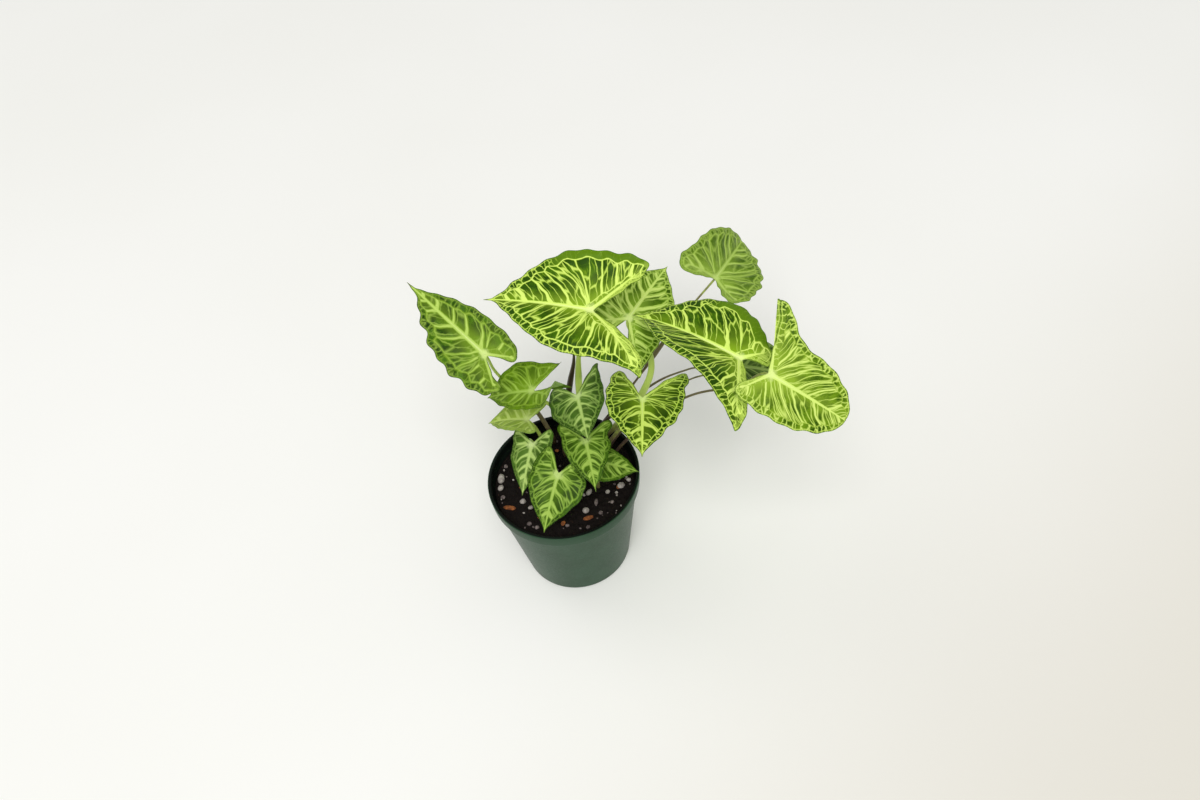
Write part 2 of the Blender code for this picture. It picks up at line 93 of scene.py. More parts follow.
# Leaves, in mm and degrees
ROW_STEP = 0.9
SWEEP = 1.2  # how far a row climbs towards the tip for each mm that it goes outwards
BOW = 0.11  # how far the rows bend, as a share of their length
COSTA = 0.74  # how far the lobe's own rib reaches, as a share of the lobe
FAN_SHARE = 0.4  # how much of the lobe's outer margin the rows from the junction reach
VEIN_SPACING = 3.5  # between main veins, and a tenth of the blade's length more
VEIN_SHIFT = 0.27  # how unevenly they are spaced, as a share
USUAL_LENGTH = 72  # the blade that the ribs and the relief are sized for
COLUMN_SHARE = 0.62  # points in each row, for each row step in the blade's size
RIPPLE = 0.4
RIPPLE_WAVES = 15
WAVE_LENGTH = 13
WAVE_FADE = 20  # how far from the tip and the sinus the waves reach their full size
BLADE_EDGE = 0.14
BLADE_CORE = 0.3
STALK_RADIUS = 1.15
STALK_BURIED = 13
STALK_STRAIGHT = 3
STALK_UPRIGHT = 5  # how stiffly it stands upright there
STALK_SIDES = 16
STALK_STEPS = 24
RIB_SHARE = 0.2  # how much of the midrib the petiole's end runs under
SPAN_STEPS = 48  # points on each of the four spans of a half's margin
BATCH = 2000  # points measured at a time
SEAM_DIGITS = 4  # decimals to which points of the two halves agree where they join
SEEDS_APART = 20  # so that the main veins of each half have their own numbers
LEAVES_APART = 300  # so that no two leaves have the same pattern
BLADE_CREASE = 60


@dataclass
class Leaf:
    """One leaf. Pairs are (right half, left half), as seen from above with the tip pointing away."""

    name: str
    foot: tuple  # x, y of the petiole in the soil
    via: list  # x, y, z that the petiole passes
    junction: tuple  # x, y, z where petiole and blade meet
    heading: float  # which way the midrib points, counterclockwise from +X
    pitch: float  # how far the midrib points below level at the junction
    roll: float  # right half up
    length: float  # midrib, junction to tip
    width: tuple  # widest half widths
    shoulder: float  # how far beyond the junction the blade is widest
    lobe: tuple  # junction to the end of each basal lobe
    lobe_angle: tuple  # between the tip's direction and each lobe
    fold: float  # each half rises from the midrib by this angle
    curl: tuple  # then curls down by this angle towards its margin
    droop: float  # bend of the midrib, junction to tip
    lobe_droop: tuple  # bend of each lobe, down
    twist: float = 0
    stalk: float = 1.0  # petiole thickness, as a share of the usual
    fullness: tuple = (0.11, 0.11)  # how far each lobe's inner margin swells, as a share of the length
    bluntness: float = 0.055  # half width near the tip, as a share of the length
    nib: float = 0.06  # the tip's narrow point, as a share of the length
    point: tuple = (0, 0)  # how pointed each lobe's end is, 1 at most
    wavy: tuple = (0.4, 0.4)  # how far each half's margin waves in and out, in mm
    sheath: tuple = ()  # petiole thickness at each via point, where it isn't even
    look: str = "low"
    browned: float = 0.45  # how far up the petiole is brown, as a share
    plain: tuple = (0, 0)  # how much of each half's outer margin is plain green


LEAVES = [
    Leaf("leaf_tall_left", (-4, 36), [(-13, 48, 110), (-33, 46, 158)], (-36, 35, 190),
         135, -30, 22, 71, (20, 25), 8, (22, 28), (142, 148), 17, (9, 15), 6, (5, 4), 3,
         bluntness=0.045, nib=0.11, wavy=(0.5, 1.5), sheath=(1.3, 0.9), look="soft"),
    Leaf("leaf_top", (11, 28), [(19, 37, 118), (21.5, 42.5, 141), (26, 35, 180)], (37, 26, 224),
         160, -7, 8, 72, (38, 35), 7, (46, 54), (131, 140), 20, (-9, 38), 16, (2, 26), -7, 1.3,
         fullness=(0.11, 0.8), nib=0.08, point=(0, 0.75), wavy=(0.7, 0.4), sheath=(1.5, 1.55, 0.85),
         look="bright", browned=0.2, plain=(0.6, 0)),
    Leaf("leaf_back", (27, 26), [(63, 28, 132), (73, 40, 154)], (62, 58, 178),
         53, -2, -14, 60, (27, 26), 7, (43, 30), (142, 132), 11, (20, 5), 12, (7, 2), -1, 1.2,
         fullness=(0.3, 0.46), point=(0.35, 0), sheath=(1.8, 1.45), look="back", browned=0.3),
    Leaf("leaf_right", (20, 31), [(66, 40, 122), (96, 20, 160)], (124, -8, 195),
         132, -3, -4, 89, (34, 33), 27, (20, 69), (133, 120), 30, (32, 17), 22, (41, 11), -9, 0.85,
         fullness=(0.22, 0.45), bluntness=0.03, point=(0, 0.7), wavy=(0.6, 0.3), sheath=(0.9, 0.6),
         look="bright", browned=0.95, plain=(0.55, 0)),
    Leaf("leaf_far_right", (34, 9), [(64, 14, 120), (92, 4, 151), (121, -21, 184)], (136, -41, 214),
         -29, 28, -33, 57, (24, 24), 13, (25, 45), (126, 116), 20, (16, 8), 18, (3, 6), -7, 0.8,
         fullness=(0.1, -0.09), bluntness=0.22, nib=0.01, point=(0, -0.4), wavy=(0.6, 0.5),
         sheath=(1, 0.9, 0.9), look="pale", browned=0.95),
    Leaf("leaf_back_right", (27, 35), [(66, 54, 124), (77, 60.5, 134), (104, 76, 156)], (127, 84, 177),
         58, 13, -32, 63, (31, 28), 9, (35, 37), (136, 127), 28, (3, 15), 9, (-4, -3), -18, 0.8,
         fullness=(0.21, 0.24), bluntness=0.17, nib=0.02, wavy=(1.2, 0.5),
         sheath=(0.8, 1.9, 0.7), look="dim", browned=0.95),
    Leaf("leaf_under_right", (34, 18), [(64, 32, 114), (98, 28, 140)], (129, 17, 158),
         3, 23, -9, 52, (26, 23), 7, (30, 21), (122, 120), 25, (10, 2), 18, (0, 0), -3, 0.75,
         sheath=(0.9, 0.65), look="shade", browned=0.9),
    Leaf("leaf_centre", (27, 13), [(46, 13, 120)], (61, -9, 172),
         -98, -10, 5, 51, (24, 27), 5, (30, 36), (147, 126), 19, (20, 16), 7, (3, 6), 1,
         bluntness=0.09, nib=0.05, wavy=(0.7, 0.7), look="vivid"),
    Leaf("leaf_low_left", (3, 23), [(4, 30, 116), (1, 31, 130), (-6, 30, 142)], (-10, 25, 158),
         160, 15, 21, 41, (20, 15), 5, (30, 30), (143, 160), 22, (0, 14), 23, (-2, -42), 4,
         fullness=(0.11, 0.55), point=(0.9, -0.4), look="leafy"),
    Leaf("leaf_middle", (10, 18), [(16, 27, 114)], (19, 28, 142),
         -86, -4, -11, 43, (21, 19), 5, (22, 30), (132, 139), 9, (20, 12), 2, (12, 2),
         fullness=(0.11, 0.25), point=(0, 0.6)),
    Leaf("leaf_middle_low", (12, -5), [(19, 0, 106)], (20, -2, 130),
         -87, 8, 2, 38, (16, 16), 3, (22, 23), (135, 122), 11, (13, 18), 17, (6, 6),
         nib=0.08, wavy=(0.5, 0.8), look="mid"),
    Leaf("leaf_front", (0, -7), [(0, -11, 100)], (-2, -18, 118),
         -117, 23, 5, 41, (19, 21), 5, (21, 13), (146, 135), 11, (10, 17), 24, (8, 5), 2, nib=0.05,
         look="mid"),
    Leaf("leaf_front_left", (-17, 29), [(-20, 27, 103)], (-18, 16, 112),
         -113, 20, -6, 37, (15, 15), 4, (19, 17), (119, 136), 7, (24, 14), 16, (8, 5), 0, 0.9),
    Leaf("leaf_small_left", (-9, 25), [(-13, 29, 108)], (-18, 27, 126),
         151, 16, 0, 39, (17, 15), 5, (18, 23), (129, 134), 19, (0, 0), 21, (-3, 0), 3, 0.9, look="light"),
    Leaf("leaf_front_right", (23, -9), [(25, -9, 97)], (27, -6, 108),
         -13, 15, -6, 29, (14, 12), 4, (16, 15), (120, 130), 10, (21, 14), 14, (5, 4), -3, 0.9,
         look="mid"),
]

FURLED_PATH = [(3, 35), (12, 46, 122), (16, 45, 140), (21, 41.5, 165), (22.5, 39, 186)]
FURLED_SHARES = [1.5, 1.6, 2.0, 1.7, 0.8, 0.25]


@dataclass
class Look:
    """How a blade is painted. Widths are half widths in mm."""

    dark: str  # green between the veins
    green: str  # the same in lighter places
    edge: str  # along the veins' sides
    vein: str
    pale: str  # the midrib's middle and the junction
    spread: float = 1.0  # width of the main veins, as a share
    verge: float = 0.8  # how far the lighter green reaches on either side of a vein
    net: float = 0.12  # the thin veins between the islands
    faint: float = 1.0  # how strong the thin veins are
    crowd: float = 2.2  # islands side by side between two main veins
    short: float = 0.055  # islands in each mm along a main vein
    soft: float = 1.0  # how gently the veins fade into the green
    wash: float = 0.75  # how much of the lobes' inner sides is vein coloured
    light: float = 0.5  # how much of the green is the lighter one
    rim: float = 1.0  # how strong the vein along the margin is
    beads: float = 1.0  # how clearly short veins cut up the border outside it
    taper: float = 20  # mm from a rib over which the main veins thin out
    fade: float = 0.0  # how far the main veins lose their colour towards the margin
    glow: float = 0.8  # how far the green near ribs and junction turns to the lighter one
    dried: float = 0.3  # mm of the tip that have dried dark


LOOKS = {
    "bright": Look("#264800", "#467000", "#98BC28", "#DAF276", "#E8F6A4", spread=0.95, verge=0.5, net=0.08,
                   crowd=2.8, faint=0.95, soft=0.85, light=0.45, rim=0.85, dried=3.5),
    "vivid": Look("#1C3C00", "#385F00", "#90B424", "#D4EC70", "#E4F69C", spread=0.9, verge=0.55, net=0.04,
                  short=0.07, light=0.35, rim=0.7, glow=0.6, taper=12, fade=0.2),
    "pale": Look("#2C5000", "#6C9014", "#9EBE3A", "#D8EE7E", "#E2F29C", spread=0.65, verge=0.7, net=0.04,
                 crowd=3.2, short=0.05, light=0.6, rim=0.5, glow=0.9),
    "soft": Look("#1A3800", "#4E7C10", "#86A830", "#B8D466", "#D6E894", spread=0.8, verge=1.5, net=0.0,
                 faint=0.6, crowd=1.6, soft=2.0, wash=0.5, rim=0.3, beads=0.6, light=0.4, glow=0.85,
                 taper=15, fade=0.45, dried=4.5),
    "back": Look("#345600", "#5A8010", "#98BC3C", "#CEE678", "#E0F29C", verge=1.0, faint=0.8, crowd=2.4,
                 soft=1.5, rim=0.4, fade=0.2, glow=0.7),
    "dim": Look("#466808", "#749428", "#98B846", "#B4D066", "#C8E080", verge=1.4, net=0.05, faint=0.5,
                crowd=1.6, soft=2.6, wash=0.4, rim=0.2, taper=14, fade=0.3),
    "mid": Look("#1A3600", "#365A06", "#6C902A", "#A0BE56", "#C2D884", verge=1.0, net=0.03, faint=0.8,
                short=0.08, soft=1.5, wash=0.4, rim=0.35, beads=0.5, glow=0.45, taper=11, fade=0.5),
    "low": Look("#223E08", "#40661A", "#6E9038", "#B4CE74", "#CEE09A", verge=1.3, net=0.03, faint=0.6,
                crowd=1.8, short=0.08, soft=2.0, wash=0.4, rim=0.2, beads=0.3, glow=0.5, taper=11, fade=0.5),
    "leafy": Look("#2C4C00", "#5A8006", "#7A9C22", "#9ABA4C", "#BAD078", spread=0.8, verge=1.3, net=0.0,
                  faint=0.6, crowd=1.8, short=0.08, soft=2.2, wash=0.3, rim=0.3, beads=0.5, taper=11,
                  fade=0.4),
    "light": Look("#64821C", "#88A636", "#9CB648", "#B6CC6C", "#C6D688", spread=0.8, verge=1.4, net=0.0,
                  faint=0.45, crowd=1.6, soft=2.6, wash=0.3, rim=0.2, taper=11, fade=0.4),
    "shade": Look("#2A4408", "#486420", "#6C8A40", "#A0BC62", "#C2D48A", spread=0.8, net=0.03, faint=0.6,
                  crowd=1.8, soft=2.2, wash=0.3, rim=0.3, glow=0.5, taper=14, fade=0.4),
}


# Sockets and materials
def colour(code):
    """A web colour as linear red, green, blue and 1."""
    parts = [int(code[i:i + 2], 16) / 255 for i in (1, 3, 5)]
    return [p / 12.92 if p < 0.04045 else ((p + 0.055) / 1.055) ** 2.4 for p in parts] + [1]


def math_method(operation):
    """A method that adds one kind of Math node."""
    return lambda number, *others: number.shader.math(operation, number, *others)


class Number:
    """A number that varies over a surface. Arithmetic on it adds Math nodes."""

    def __init__(self, shader, socket):
        self.shader = shader
        self.socket = socket

    __add__ = __radd__ = math_method("ADD")
    __sub__ = math_method("SUBTRACT")
    __mul__ = math_method("MULTIPLY")
    __truediv__ = math_method("DIVIDE")
    __abs__ = math_method("ABSOLUTE")
    floor = math_method("FLOOR")
    fraction = math_method("FRACT")
    most = math_method("MAXIMUM")
    least = math_method("MINIMUM")

    def __rsub__(self, other):
        return self.shader.math("SUBTRACT", other, self)

    def ramp(self, low, high, start, end):
        """One value below low, another above high, smooth between."""
        inputs = {0: self, 1: low, 2: high, 3: start, 4: end}
        return self.shader.number("MapRange", inputs, interpolation_type="SMOOTHSTEP")

    def rise(self, low, high):
        return self.ramp(low, high, 0.0, 1.0)

    def fall(self, low, high):
        return self.ramp(low, high, 1.0, 0.0)


class Shader:
    """A material, with short calls for its nodes."""

    def __init__(self, name, sockets):
        self.material = bpy.data.materials.new(name)
        self.material.use_nodes = True
        self.tree = self.material.node_tree
        self.surface = self.tree.nodes["Principled BSDF"]
        for socket, value in sockets.items():
            self.surface.inputs[socket].default_value = value

    def node(self, kind, inputs, **settings):
        node = self.tree.nodes.new("ShaderNode" + kind)
        for name, value in settings.items():
            setattr(node, name, value)
        for key, value in inputs.items():
            self.feed(node.inputs[key], value)
        return node

    def feed(self, socket, value):
        if isinstance(value, Number):
            value = value.socket
        if isinstance(value, bpy.types.NodeSocket):
            self.tree.links.new(value, socket)
        else:
            socket.default_value = value

    def number(self, kind, inputs, output=0, **settings):
        return Number(self, self.node(kind, inputs, **settings).outputs[output])

    def math(self, operation, *values):
        return self.number("Math", dict(enumerate(values)), operation=operation)

    def parts(self, vector):
        """The three numbers of a vector."""
        return [Number(self, part) for part in self.node("SeparateXYZ", {0: vector}).outputs]

    def attribute(self, name):
        """The three numbers that the mesh keeps under a name."""
        return self.parts(self.node("Attribute", {}, attribute_name=name).outputs["Vector"])

    def place(self, scale=(1000, 1000, 1000)):
        """The piece's own coordinates, in mm unless another scale is asked for."""
        source = self.node("TexCoord", {}).outputs["Object"]
        return self.node("VectorMath", {0: source, 1: scale}, operation="MULTIPLY").outputs[0]

    def point(self, x, y, z=0.0):
        return self.node("CombineXYZ", {0: x, 1: y, 2: z}).outputs[0]

    def noise(self, spot, scale, detail=2.0, roughness=0.5):
        """Smooth noise about 0."""
        inputs = {"Vector": spot, "Scale": scale, "Detail": detail, "Roughness": roughness}
        return self.number("TexNoise", inputs) - 0.5

    def cells(self, spot):
        """Irregular islands: how far a place is from the border between two."""
        return self.number("TexVoronoi", {"Vector": spot, "Scale": 1.0}, "Distance",
                           feature="DISTANCE_TO_EDGE", voronoi_dimensions="2D")

    def painted(self, base, *coats):
        """A web colour with others over it, each by its share."""
        paint = colour(base)
        for share, coat in coats:
            paint = self.node("Mix", {0: share, 6: paint, 7: colour(coat)}, data_type="RGBA").outputs[2]
        return paint

    def finish(self, base, roughness, height, depth, strength):
        """The material, with its colour, its roughness, and a bump of a depth in metres."""
        bump = self.node("Bump", {"Height": height, "Distance": depth, "Strength": strength})
        looks = {"Base Color": base, "Roughness": roughness, "Normal": bump.outputs[0]}
        for socket, value in looks.items():
            self.feed(self.surface.inputs[socket], value)
        return self.material


def blade_material(name, look):
    """Upper side of a blade: veins drawn from the rows, margin and ribs that the mesh keeps."""
    s = Shader(name, {"IOR": 1.45, "Specular IOR Level": 0.09})
    lateral, along, gap = s.attribute("lateral")
    margin, clear, around = s.attribute("edge")
    collar, reach, inner = s.attribute("zone")
    x, y, plain = s.attribute("flat")
    spot = s.point(x, y)
    slow = s.noise(spot, 0.11)
    warp = s.noise(spot, 0.3)
    fine = s.noise(spot, 1.2)
    streak = s.noise(s.point(lateral * 10, along * 0.22), 1.0, 1.0)

    # Distances in mm outside each kind of vein, less than 0 on the vein itself
    each = s.number("TexWhiteNoise", {"W": lateral.floor()}, noise_dimensions="1D")
    width = clear.fall(0.0, look.taper) * 0.6 + clear.fall(0.0, 3.0) * 0.5 + slow * 0.3 + 0.2
    width = width * (each * 0.7 + 0.65) * look.spread
    main = abs((lateral + warp * 0.06).fraction() - 0.5) * gap - width
    islands = s.cells(s.point(lateral * look.crowd + warp * 0.25, along * look.short + warp * 0.15))
    net = islands * gap / look.crowd - slow * 0.4 - look.net
    within = margin - collar + warp * 0.4
    ring = abs(within) - 0.35 * look.spread + (1 - look.rim) * 0.7
    patchy = (slow.rise(-0.06, 0.16) + 1) * 0.5 * (1 - look.beads)
    ticks = s.cells(s.point(around * 0.3 + warp * 0.9, margin * 0.12 + slow)) * 3.2 - 0.1 + patchy
    line = abs(margin - 0.9 + warp * 0.6) - 0.05 + patchy
    patch = reach * 0.6 - 1.3 + warp * 3

    outside = within.fall(-0.2, 0.2)
    faded = clear.rise(2.0, look.taper) * look.fade
    strong = main + outside * 9 + faded * 0.5
    strong = strong.least(ring).least(clear).least(patch) + streak * 0.45
    thin = (net + outside * 9).least(ticks.least(line) + (1 - outside) * 9 + plain * 0.2) + streak * 0.4
    core = strong.fall(-0.15 * look.soft, 0.3 * look.soft) * (1 - faded * 0.6)
    lesser = thin.fall(-0.15 * look.soft, 0.3 * look.soft) * look.faint * 0.8
    core = core.most(lesser * (1 - plain * outside * 0.75))
    beside_thin = thin.fall(0.0, 0.8 * look.verge) * (look.faint * 0.8 + 0.1)
    verge = strong.fall(0.0, 1.3 * look.verge).most(beside_thin * (1 - plain * outside * 0.5))
    verge = verge.most((clear.fall(0.5, 9.0) * 0.5 + reach.fall(5.0, 32.0) * 0.45) * look.glow)
    hair = s.noise(s.point(lateral * 8, along * 0.1), 1.0, 1.0).rise(0.08, 0.2) * 0.4 * look.faint
    bare = inner * (streak + fine * 0.3).fall(-0.02, 0.12) * look.wash
    verge = verge.most(hair * (1 - outside)).most(bare).most(plain * outside * 0.2)
    dulled = 1 - margin.fall(0.25, 0.7) * 0.7

    shade = slow.rise(-0.15, 0.15) * 0.6 + fine.rise(-0.05, 0.25) * 0.4 + (look.light - 0.5)
    middle = (clear + fine * 0.6).fall(-1.5, -0.5).most((reach + warp * 4).fall(1.0, 5.0))
    tip = (around + fine * 2).fall(0.5 * look.dried, 1.4 * look.dried)
    paint = s.painted(look.dark, (shade.rise(0.1, 0.9), look.green), (plain * outside * 0.8, look.green),
                      (verge * dulled, look.edge), (core.most(bare * 0.6) * dulled, look.vein),
                      (middle * 0.8, look.pale), (tip * 0.7, "#46441E"))
    roughness = 0.45 + fine * 0.25 + core * 0.06
    height = s.noise(spot, 3.0) * 0.4 - core * 0.4 - verge * 0.2 + streak * 0.3
    return s.finish(paint, roughness, height, 0.22 * MM, 0.7)


def underside_material():
    """Lower side of a blade: paler, duller, with the veins a shade lighter."""
    s = Shader("blade_underside", {"IOR": 1.4})
    lateral, along, gap = s.attribute("lateral")
    margin, clear, _ = s.attribute("edge")
    x, y, _ = s.attribute("flat")
    spot = s.point(x, y)
    fine = s.noise(spot, 1.4)
    slow = s.noise(spot, 0.15)
    off_vein = abs(lateral.fraction() - 0.5) * gap
    main = (off_vein - 0.55 + fine).fall(-0.3, 0.7)
    islands = s.cells(s.point(lateral * 2.3, along * 0.1)) * gap / 2.3
    net = (islands - 0.3).fall(-0.2, 0.6) * 0.55
    mask = main.most(net).most(clear.fall(-0.5, 0.7))
    paint = s.painted("#5F8A3C", (slow.rise(-0.15, 0.2), "#7DA352"), (mask, "#B3CC78"),
                      (margin.fall(0.2, 0.9) * 0.5, "#5F8A3C"))
    return s.finish(paint, 0.6 + fine * 0.2, mask * 0.6 + fine * 0.5, 0.2 * MM, 0.6)


def petiole_material(name, top, lower, foot):
    """A stalk: three colours from the blade down to the soil, with fine lengthwise streaks."""
    s = Shader(name, {"IOR": 1.45})
    brown, height, turn = s.attribute("stem")
    streak = s.noise(s.point(turn * 3.0, height * 0.05), 1.0, 3.0)
    blotch = s.noise(s.place(), 0.25, 3.0)
    shade = brown + blotch * 0.5 + streak * 0.25
    paint = s.painted(top, (shade.rise(0.1, 0.6), lower), (shade.rise(0.65, 1.05), foot),
                      (streak.rise(0.05, 0.3) * 0.35, top))
    return s.finish(paint, 0.42 + blotch * 0.25, streak * 0.7 + blotch * 0.4, 0.15 * MM, 0.6)


def pot_material(name, deep, light, dust_share):
    """Dark green moulded plastic: faint turning lines, a little dust and wear, and paler within 3 mm of the
    bottom.
    """
    s = Shader(name, {"IOR": 1.48, "Specular IOR Level": 0.12})
    spot = s.place()
    _, _, z = s.parts(spot)
    cloud = s.noise(spot, 0.05, 4.0)
    dust = s.noise(spot, 0.6, 6.0, 0.7)
    lines = s.noise(s.point(0.0, 0.0, z), 1.4, 3.0)
    scuff = s.noise(s.place((80, 80, 1600)), 1.0, 4.0)
    paint = s.painted(deep, (cloud.rise(-0.2, 0.25), light), (dust.rise(0.08, 0.3) * dust_share, "#62716A"),
                      (scuff.rise(0.18, 0.28) * dust_share, "#7C8A83"),
                      (z.fall(0.0, 3.0) * dust_share, "#8A8F86"))
    roughness = 0.36 + dust * 0.3 + scuff.rise(0.1, 0.3) * 0.15
    return s.finish(paint, roughness, lines * 0.5 + dust * 0.6, 0.12 * MM, 0.5)


def soil_material():
    s = Shader("soil_peat", {"IOR": 1.4, "Specular IOR Level": 0.2})
    spot = s.place()
    grain = s.noise(spot, 0.9, 6.0, 0.7)
    patch = s.noise(spot, 0.12, 3.0)
    fibre = s.noise(s.place((2600, 500, 1000)), 0.6, 4.0)
    paint = s.painted("#070505", (grain.rise(-0.2, 0.25), "#1C1410"),
                      (patch.rise(0.0, 0.25) * 0.5, "#120B09"), (fibre.rise(0.15, 0.22) * 0.6, "#4A3324"))
    return s.finish(paint, 0.75 + grain * 0.4, grain, 0.8 * MM, 1.0)


def grain_material(name, light, dark, pit):
    """Perlite, grit or bark: two tones and pits."""
    s = Shader(name, {"IOR": 1.4})
    spot = s.place()
    tone = s.noise(spot, 0.45, 4.0)
    pits = s.noise(spot, 2.2, 4.0, 0.7)
    paint = s.painted(dark, (tone.rise(-0.15, 0.2), light), (pits.rise(0.1, 0.25) * 0.7, pit))
    return s.finish(paint, 0.8 + pits * 0.3, pits * -1.0, 0.4 * MM, 0.8)


def floor_material():
    """Matt white paint, with painted shade that makes it darker and a little warmer towards the front right.
    """
    s = Shader("floor_paint", {"IOR": 1.4, "Specular IOR Level": 0.2})
    spot = s.place((1, 1, 1))
    x, y, _ = s.parts(spot)
    cloud = s.noise(spot, 2.0, 3.0)
    speck = s.noise(spot, 90.0, 4.0)
    # The mix towards #DEDACF along x - 1.4 y is painted shade, where the light falls off towards the front
    # right.
    paint = s.painted("#F5F5F1", (cloud.rise(-0.25, 0.25), "#F8F8F5"),
                      ((x - y * 1.4).rise(0.0, 0.85) * 0.9, "#DEDACF"))
    return s.finish(paint, 0.7 + speck * 0.1, speck, 0.1 * MM, 0.2)


# Pieces
def new_object(name, mesh):
    obj = bpy.data.objects.new(name, mesh)
    bpy.context.scene.collection.objects.link(obj)
    return obj


def place_piece(mesh, materials, node=None):
    """A visible piece, with its materials and body. The CAD node that it stands for is hidden."""
    obj = new_object(mesh.name, mesh)
    for made in materials:
        obj.data.materials.append(made)
    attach(obj, "root")
    if node:
        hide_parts(node)


def mesh_of(obj):
    """The object's final mesh, with the object removed."""
    bpy.context.view_layer.update()
    mesh = bpy.data.meshes.new_from_object(obj.evaluated_get(bpy.context.evaluated_depsgraph_get()))
    bpy.data.objects.remove(obj)
    return mesh


def mesh_from(shape, name):
    """The mesh of a bmesh, which is freed."""
    mesh = bpy.data.meshes.new(name)
    shape.to_mesh(mesh)
    shape.free()
    return mesh


def smooth_mesh(name, points, faces):
    mesh = bpy.data.meshes.new(name)
    mesh.from_pydata(points, [], faces)
    mesh.shade_smooth()
    return mesh


def keep_values(mesh, name, domain, values):
    """Keeps three numbers for each point or corner of a mesh, for its material."""
    store = mesh.attributes.new(name, "FLOAT_VECTOR", domain)
    store.data.foreach_set("vector", np.asarray(values, np.float32).reshape(-1))


def ring_faces(rings, sides, first=0):
    """The quads between rings of points that follow each other from the first point on."""
    faces = []
    for start in range(first, first + (rings - 1) * sides, sides):
        for k in range(sides):
            a, b = start + k, start + (k + 1) % sides
            faces.append((a, b, b + sides, a + sides))
    return faces


# Leaf shape, as in the solids
def smooth_margin(leaf, side):
    """One half's margin without its waves, from the tip round the lobe to the sinus, x outwards, in mm."""
    width, lobe = leaf.width[side], leaf.lobe[side]
    angle = radians(leaf.lobe_angle[side])
    out = Vector((sin(angle), cos(angle)))
    inward = Vector((cos(angle), -sin(angle)))
    size = leaf.length
    round_end = 1 - leaf.point[side]
    back = out * (0.14 - 0.12 * round_end) * size
    tip = Vector((0, size))
    neck = Vector((0.014 * size, (1 - leaf.nib) * size))
    widest = Vector((width, leaf.shoulder))
    end = out * lobe
    sinus = Vector((0, -0.03 * size))
    spans = [
        (tip, tip.lerp(neck, 0.3), tip.lerp(neck, 0.7), neck),
        (neck, (leaf.bluntness * size, (0.76 + 0.9 * leaf.bluntness) * size),
         (width, leaf.shoulder + 0.42 * (size - leaf.shoulder)), widest),
        (widest, (width, leaf.shoulder - 0.22 * size), end - inward * 0.145 * round_end * size - back, end),
        (end, end + inward * leaf.fullness[side] * round_end * size - back, (0.09 * size, -0.10 * size),
         sinus),
    ]
    points = [tip]
    for span in spans:
        points += geometry.interpolate_bezier(*span, SPAN_STEPS)[1:-1] + [span[-1]]
    return np.array([tuple(p) for p in points])


def waved(leaf, side, line):
    """A half's margin with its waves in and out, which fade towards the tip and the sinus."""
    run = np.gradient(line, axis=0)
    run /= np.linalg.norm(run, axis=1, keepdims=True)
    along = lengths(line)
    turn = tau * along / WAVE_LENGTH + leaf.heading + 2 * side
    wave = 0.7 * np.sin(turn) + 0.45 * np.sin(0.63 * turn + 1)
    fade = np.clip(along / WAVE_FADE, 0, 1) * np.clip((along[-1] - along) / WAVE_FADE, 0, 1)
    out = np.stack([-run[:, 1], run[:, 0]], axis=1)
    moved = line + out * (leaf.wavy[side] * wave * fade)[:, None]
    moved[:, 0] = np.maximum(moved[:, 0], 0)
    return moved


def bent(angle, along, lift, size):
    """A strip bent down by an angle over its size: its new places along and up."""
    rate = np.where(np.abs(angle) < 1e-4, 1e-4, angle) / size
    return (1 / rate + lift) * np.sin(rate * along), (1 / rate + lift) * np.cos(rate * along) - 1 / rate


def ripple(leaf, points, edge):
    """How far the wavy margin lifts each point, in mm."""
    edge_around = np.arctan2(*edge.T)
    order = np.argsort(edge_around)
    around = np.arctan2(*points.T)
    share = np.hypot(*points.T) / np.interp(around, edge_around[order], np.hypot(*edge.T)[order])
    turn = RIPPLE_WAVES * around
    height = 0.7 * RIPPLE * (leaf.length / 60) ** 0.5
    return height * np.clip(share, 0, 1) ** 5 * (np.sin(turn + leaf.heading) + 0.15 * np.sin(2.3 * turn))


def curved(leaf, points, lift):
    """Flat points, lifted off the blade's plane, with the blade's fold, curls, bends and twist, in mm."""
    x, y = points[:, 0], points[:, 1]
    right = x >= 0
    curl = np.radians(np.where(right, *leaf.curl))
    across, up = bent(curl, np.abs(x), lift, 0.42 * leaf.length)
    fold = radians(leaf.fold)
    across, up = across * cos(fold) - up * sin(fold), across * sin(fold) + up * cos(fold)
    lobes = np.radians(np.where(right, *leaf.lobe_droop))
    size = np.where(y > 0, leaf.length, 0.5 * leaf.length)
    along, up = bent(np.where(y > 0, radians(leaf.droop), lobes), y, up, size)
    across = np.where(right, across, -across)
    twist = radians(leaf.twist) * y / leaf.length
    return np.stack([across * np.cos(twist), along, up + across * np.sin(twist)], axis=1)


def directions(leaf):
    """The blade's own axes in the world: to its right, along the midrib, out of its upper side."""
    turns = [("Z", leaf.heading - 90), ("X", -leaf.pitch), ("Y", -leaf.roll)]
    heading, pitch, roll = (Matrix.Rotation(radians(angle), 3, axis) for axis, angle in turns)
    return (heading @ pitch @ roll).transposed()


def in_world(leaf, places):
    return (places @ np.array(directions(leaf)) + np.array(leaf.junction)) * MM


# Rows of points that follow the veins
def lengths(line):
    """How far along a line each of its points is."""
    return np.concatenate([[0], np.cumsum(np.linalg.norm(np.diff(line, axis=0), axis=1))])


